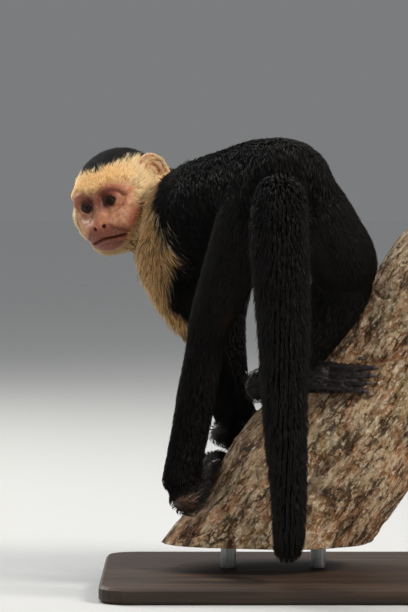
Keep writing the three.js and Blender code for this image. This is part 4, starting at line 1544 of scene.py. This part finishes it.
def rough_bark(along, angle):
    """Relief of the bark over its smooth shape, how deep in a crack each point is, with painted shade added
    on the steps between flaking layers, and its layer.
    """
    turned = angle + ripples(along, angle, SKEW) + SPIRAL * along
    height = ripples(along, turned, ROUGHNESS)
    layer = np.floor(height / FLAKE)
    part = height / FLAKE - layer
    layer = layer + smoothstep(0.0, 0.25, part)
    depth = 0
    for around, long, deep, seed in CRACKS:
        near = hump(ripple(along, turned, around, long, seed), 0, CRACK_WIDTH)
        near = near * smoothstep(-0.3, 0.3, ripple(along, turned, around // 2, long, seed + 5))
        depth = np.maximum(depth, near * deep)
    # Painted shade on the step at the edge of each flaking layer, together with the cracks' depth.
    crack = np.maximum(depth / CRACKS[0][2], 0.5 * hump(part, 0.06, 0.05))
    relief = 0.45 * height + 0.6 * layer * FLAKE - depth - SUNK_BARK
    return relief, crack, smoothstep(-2.2, 2.2, layer)


def bark_relief(along, angle):
    lengthwise = np.sin(3 * angle + along / 60) + 0.6 * np.sin(5 * angle - along / 35)
    return BRANCH["relief"] * (lengthwise + 0.5 * np.sin(along / 17 + 2 * angle))


def bark_surface(along, angle, above=0):
    return on_branch(along, np.degrees(angle), bark_relief(along, angle) + above)


def cut_face(rim):
    """Rings of a sawn end, from its middle out to the rim."""
    middle = rim.mean(0)
    reach = (np.arange(CUT_ROWS) + 0.02)[:, None, None] / CUT_ROWS
    return middle + (rim - middle) * reach


def add_bark():
    """The branch as a closed tube: the lower cut's rings, the bark, then the upper cut's rings."""
    angle = circle(BARK_SIDES)
    steps = np.linspace(0, branch_length, 400)
    heights = bark_surface(steps[:, None], angle[None])[..., 2]
    start = np.array([np.interp(BRANCH["cut_height"], heights[:, k], steps) for k in range(BARK_SIDES)])
    along = mix(start, branch_length, np.linspace(0, 1, BARK_ROWS)[:, None])
    turn = np.broadcast_to(angle, along.shape)
    relief, crack, layer = rough_bark(along, turn)
    smooth = bark_surface(along, turn)
    digits = [to_line(smooth.T, digit).T for name in PAWS for digit in digits_of(name)]
    relief = relief - UNDER_DIGITS["deep"] * hump(np.minimum.reduce(digits), 0, UNDER_DIGITS["width"])
    wall = bark_surface(along, turn, relief)
    wall[0, :, 2] = BRANCH["cut_height"]
    points = np.concatenate([cut_face(wall[0]), wall, cut_face(wall[-1])[::-1]]).reshape(-1, 3)
    faces = tube_faces(BARK_ROWS + 2 * CUT_ROWS, BARK_SIDES)
    bark = new_mesh("bark", points, outward(points, faces))

    def whole(values, ends):
        ends = np.broadcast_to(ends, (CUT_ROWS, BARK_SIDES))
        return np.concatenate([ends, values, ends[::-1]]).ravel()

    rim = np.linalg.norm(wall[0] - wall[0].mean(0), axis=1)
    uncut = np.zeros(along.shape)
    ring = np.outer(np.arange(CUT_ROWS) / CUT_ROWS, rim)
    put_floats(
        bark,
        crack=whole(crack, 0),
        layer=whole(layer, 0.5),
        cut=whole(uncut, 1),
        ring=whole(uncut, np.outer(np.arange(CUT_ROWS) / CUT_ROWS, rim)),
    )
    dress(bark, bark_material(), ["branch"])


def finish_stand():
    wood, steel = base_material(), rod_material()
    for name, node in nodes.items():
        if name.startswith("stand_"):
            node.data.materials.clear()
            node.data.materials.append(wood if name == "stand_base" else steel)


finish_skin()
for side, sign in (("L", -1), ("R", 1)):
    dress(add_eye(f"eyeball_{side}", sign), eye_material(), [f"eye_{side}"])
dress(add_nails(), nail_material())
add_coat()
add_bark()
finish_stand()


# ---- camera, light and floor ------------------------------------------------

CAMERA = {"at": [-79.88, -3090.17, 355.84], "down": 2.0, "lens": 205.2}
# Name: [place in metres, aim, size, power, colour].
LIGHTS = {
    "key": ([2.5, -1.7, 2.3], [0, 0, 0.25], 1.0, 125, (1.0, 0.95, 0.88)),
    "top": ([-0.4, 0.5, 2.4], [0, 0, 0.3], 1.6, 34, (0.96, 0.98, 1.0)),
    "rim": ([-1.8, 1.9, 1.6], [0, 0, 0.3], 1.0, 40, (1.0, 0.97, 0.92)),
    "catch": ([-2.2, -1.8, 1.15], [-0.16, 0.09, 0.34], 0.35, 5, (1.0, 0.98, 0.95)),
}
SKY = {"horizon": (0.197, 0.202, 0.205, 1), "zenith": (0.40, 0.415, 0.43, 1), "level": 0.10}
FLOOR = {"radius": 30, "below": 0.0005, "colour": (0.56, 0.56, 0.55, 1), "roughness": 0.85}


def add_camera():
    camera = bpy.data.cameras.new("camera")
    camera.lens = CAMERA["lens"]
    camera.clip_end = 100
    holder = bpy.data.objects.new("camera", camera)
    holder.location = Vector(CAMERA["at"]) * MM
    holder.rotation_euler = (math.radians(90 - CAMERA["down"]), 0, 0)
    bpy.context.scene.collection.objects.link(holder)
    bpy.context.scene.camera = holder


def add_lights():
    for name, (place, aim, size, power, colour) in LIGHTS.items():
        light = bpy.data.lights.new(name, "AREA")
        light.size = size
        light.energy = power
        light.color = colour
        lamp = bpy.data.objects.new(name, light)
        lamp.location = place
        lamp.rotation_euler = (Vector(aim) - Vector(place)).to_track_quat("-Z", "Y").to_euler()
        bpy.context.scene.collection.objects.link(lamp)


def add_sky():
    """A studio's backdrop: darker at the horizon than overhead."""
    world = bpy.data.worlds.new("studio")
    world.use_nodes = True
    tree = world.node_tree
    kinds = ("TexCoord", "SeparateXYZ", "ValToRGB")
    where, split, sky = (tree.nodes.new("ShaderNode" + kind) for kind in kinds)
    low, high = sky.color_ramp.elements
    low.color, high.color = SKY["horizon"], SKY["zenith"]
    low.position = SKY["level"]
    tree.links.new(where.outputs["Generated"], split.inputs[0])
    tree.links.new(split.outputs["Z"], sky.inputs[0])
    tree.links.new(sky.outputs[0], tree.nodes["Background"].inputs["Color"])
    bpy.context.scene.world = world


def add_floor():
    place = (0, 0, -FLOOR["below"])
    bpy.ops.mesh.primitive_circle_add(vertices=96, radius=FLOOR["radius"], fill_type="NGON", location=place)
    floor = bpy.context.object
    floor.name = "floor"
    material = bpy.data.materials.new("floor")
    material.use_nodes = True
    shader = material.node_tree.nodes["Principled BSDF"]
    shader.inputs["Base Color"].default_value = FLOOR["colour"]
    shader.inputs["Roughness"].default_value = FLOOR["roughness"]
    floor.data.materials.append(material)


add_camera()
add_lights()
add_sky()
add_floor()
bpy.context.scene.view_settings.view_transform = "Standard"
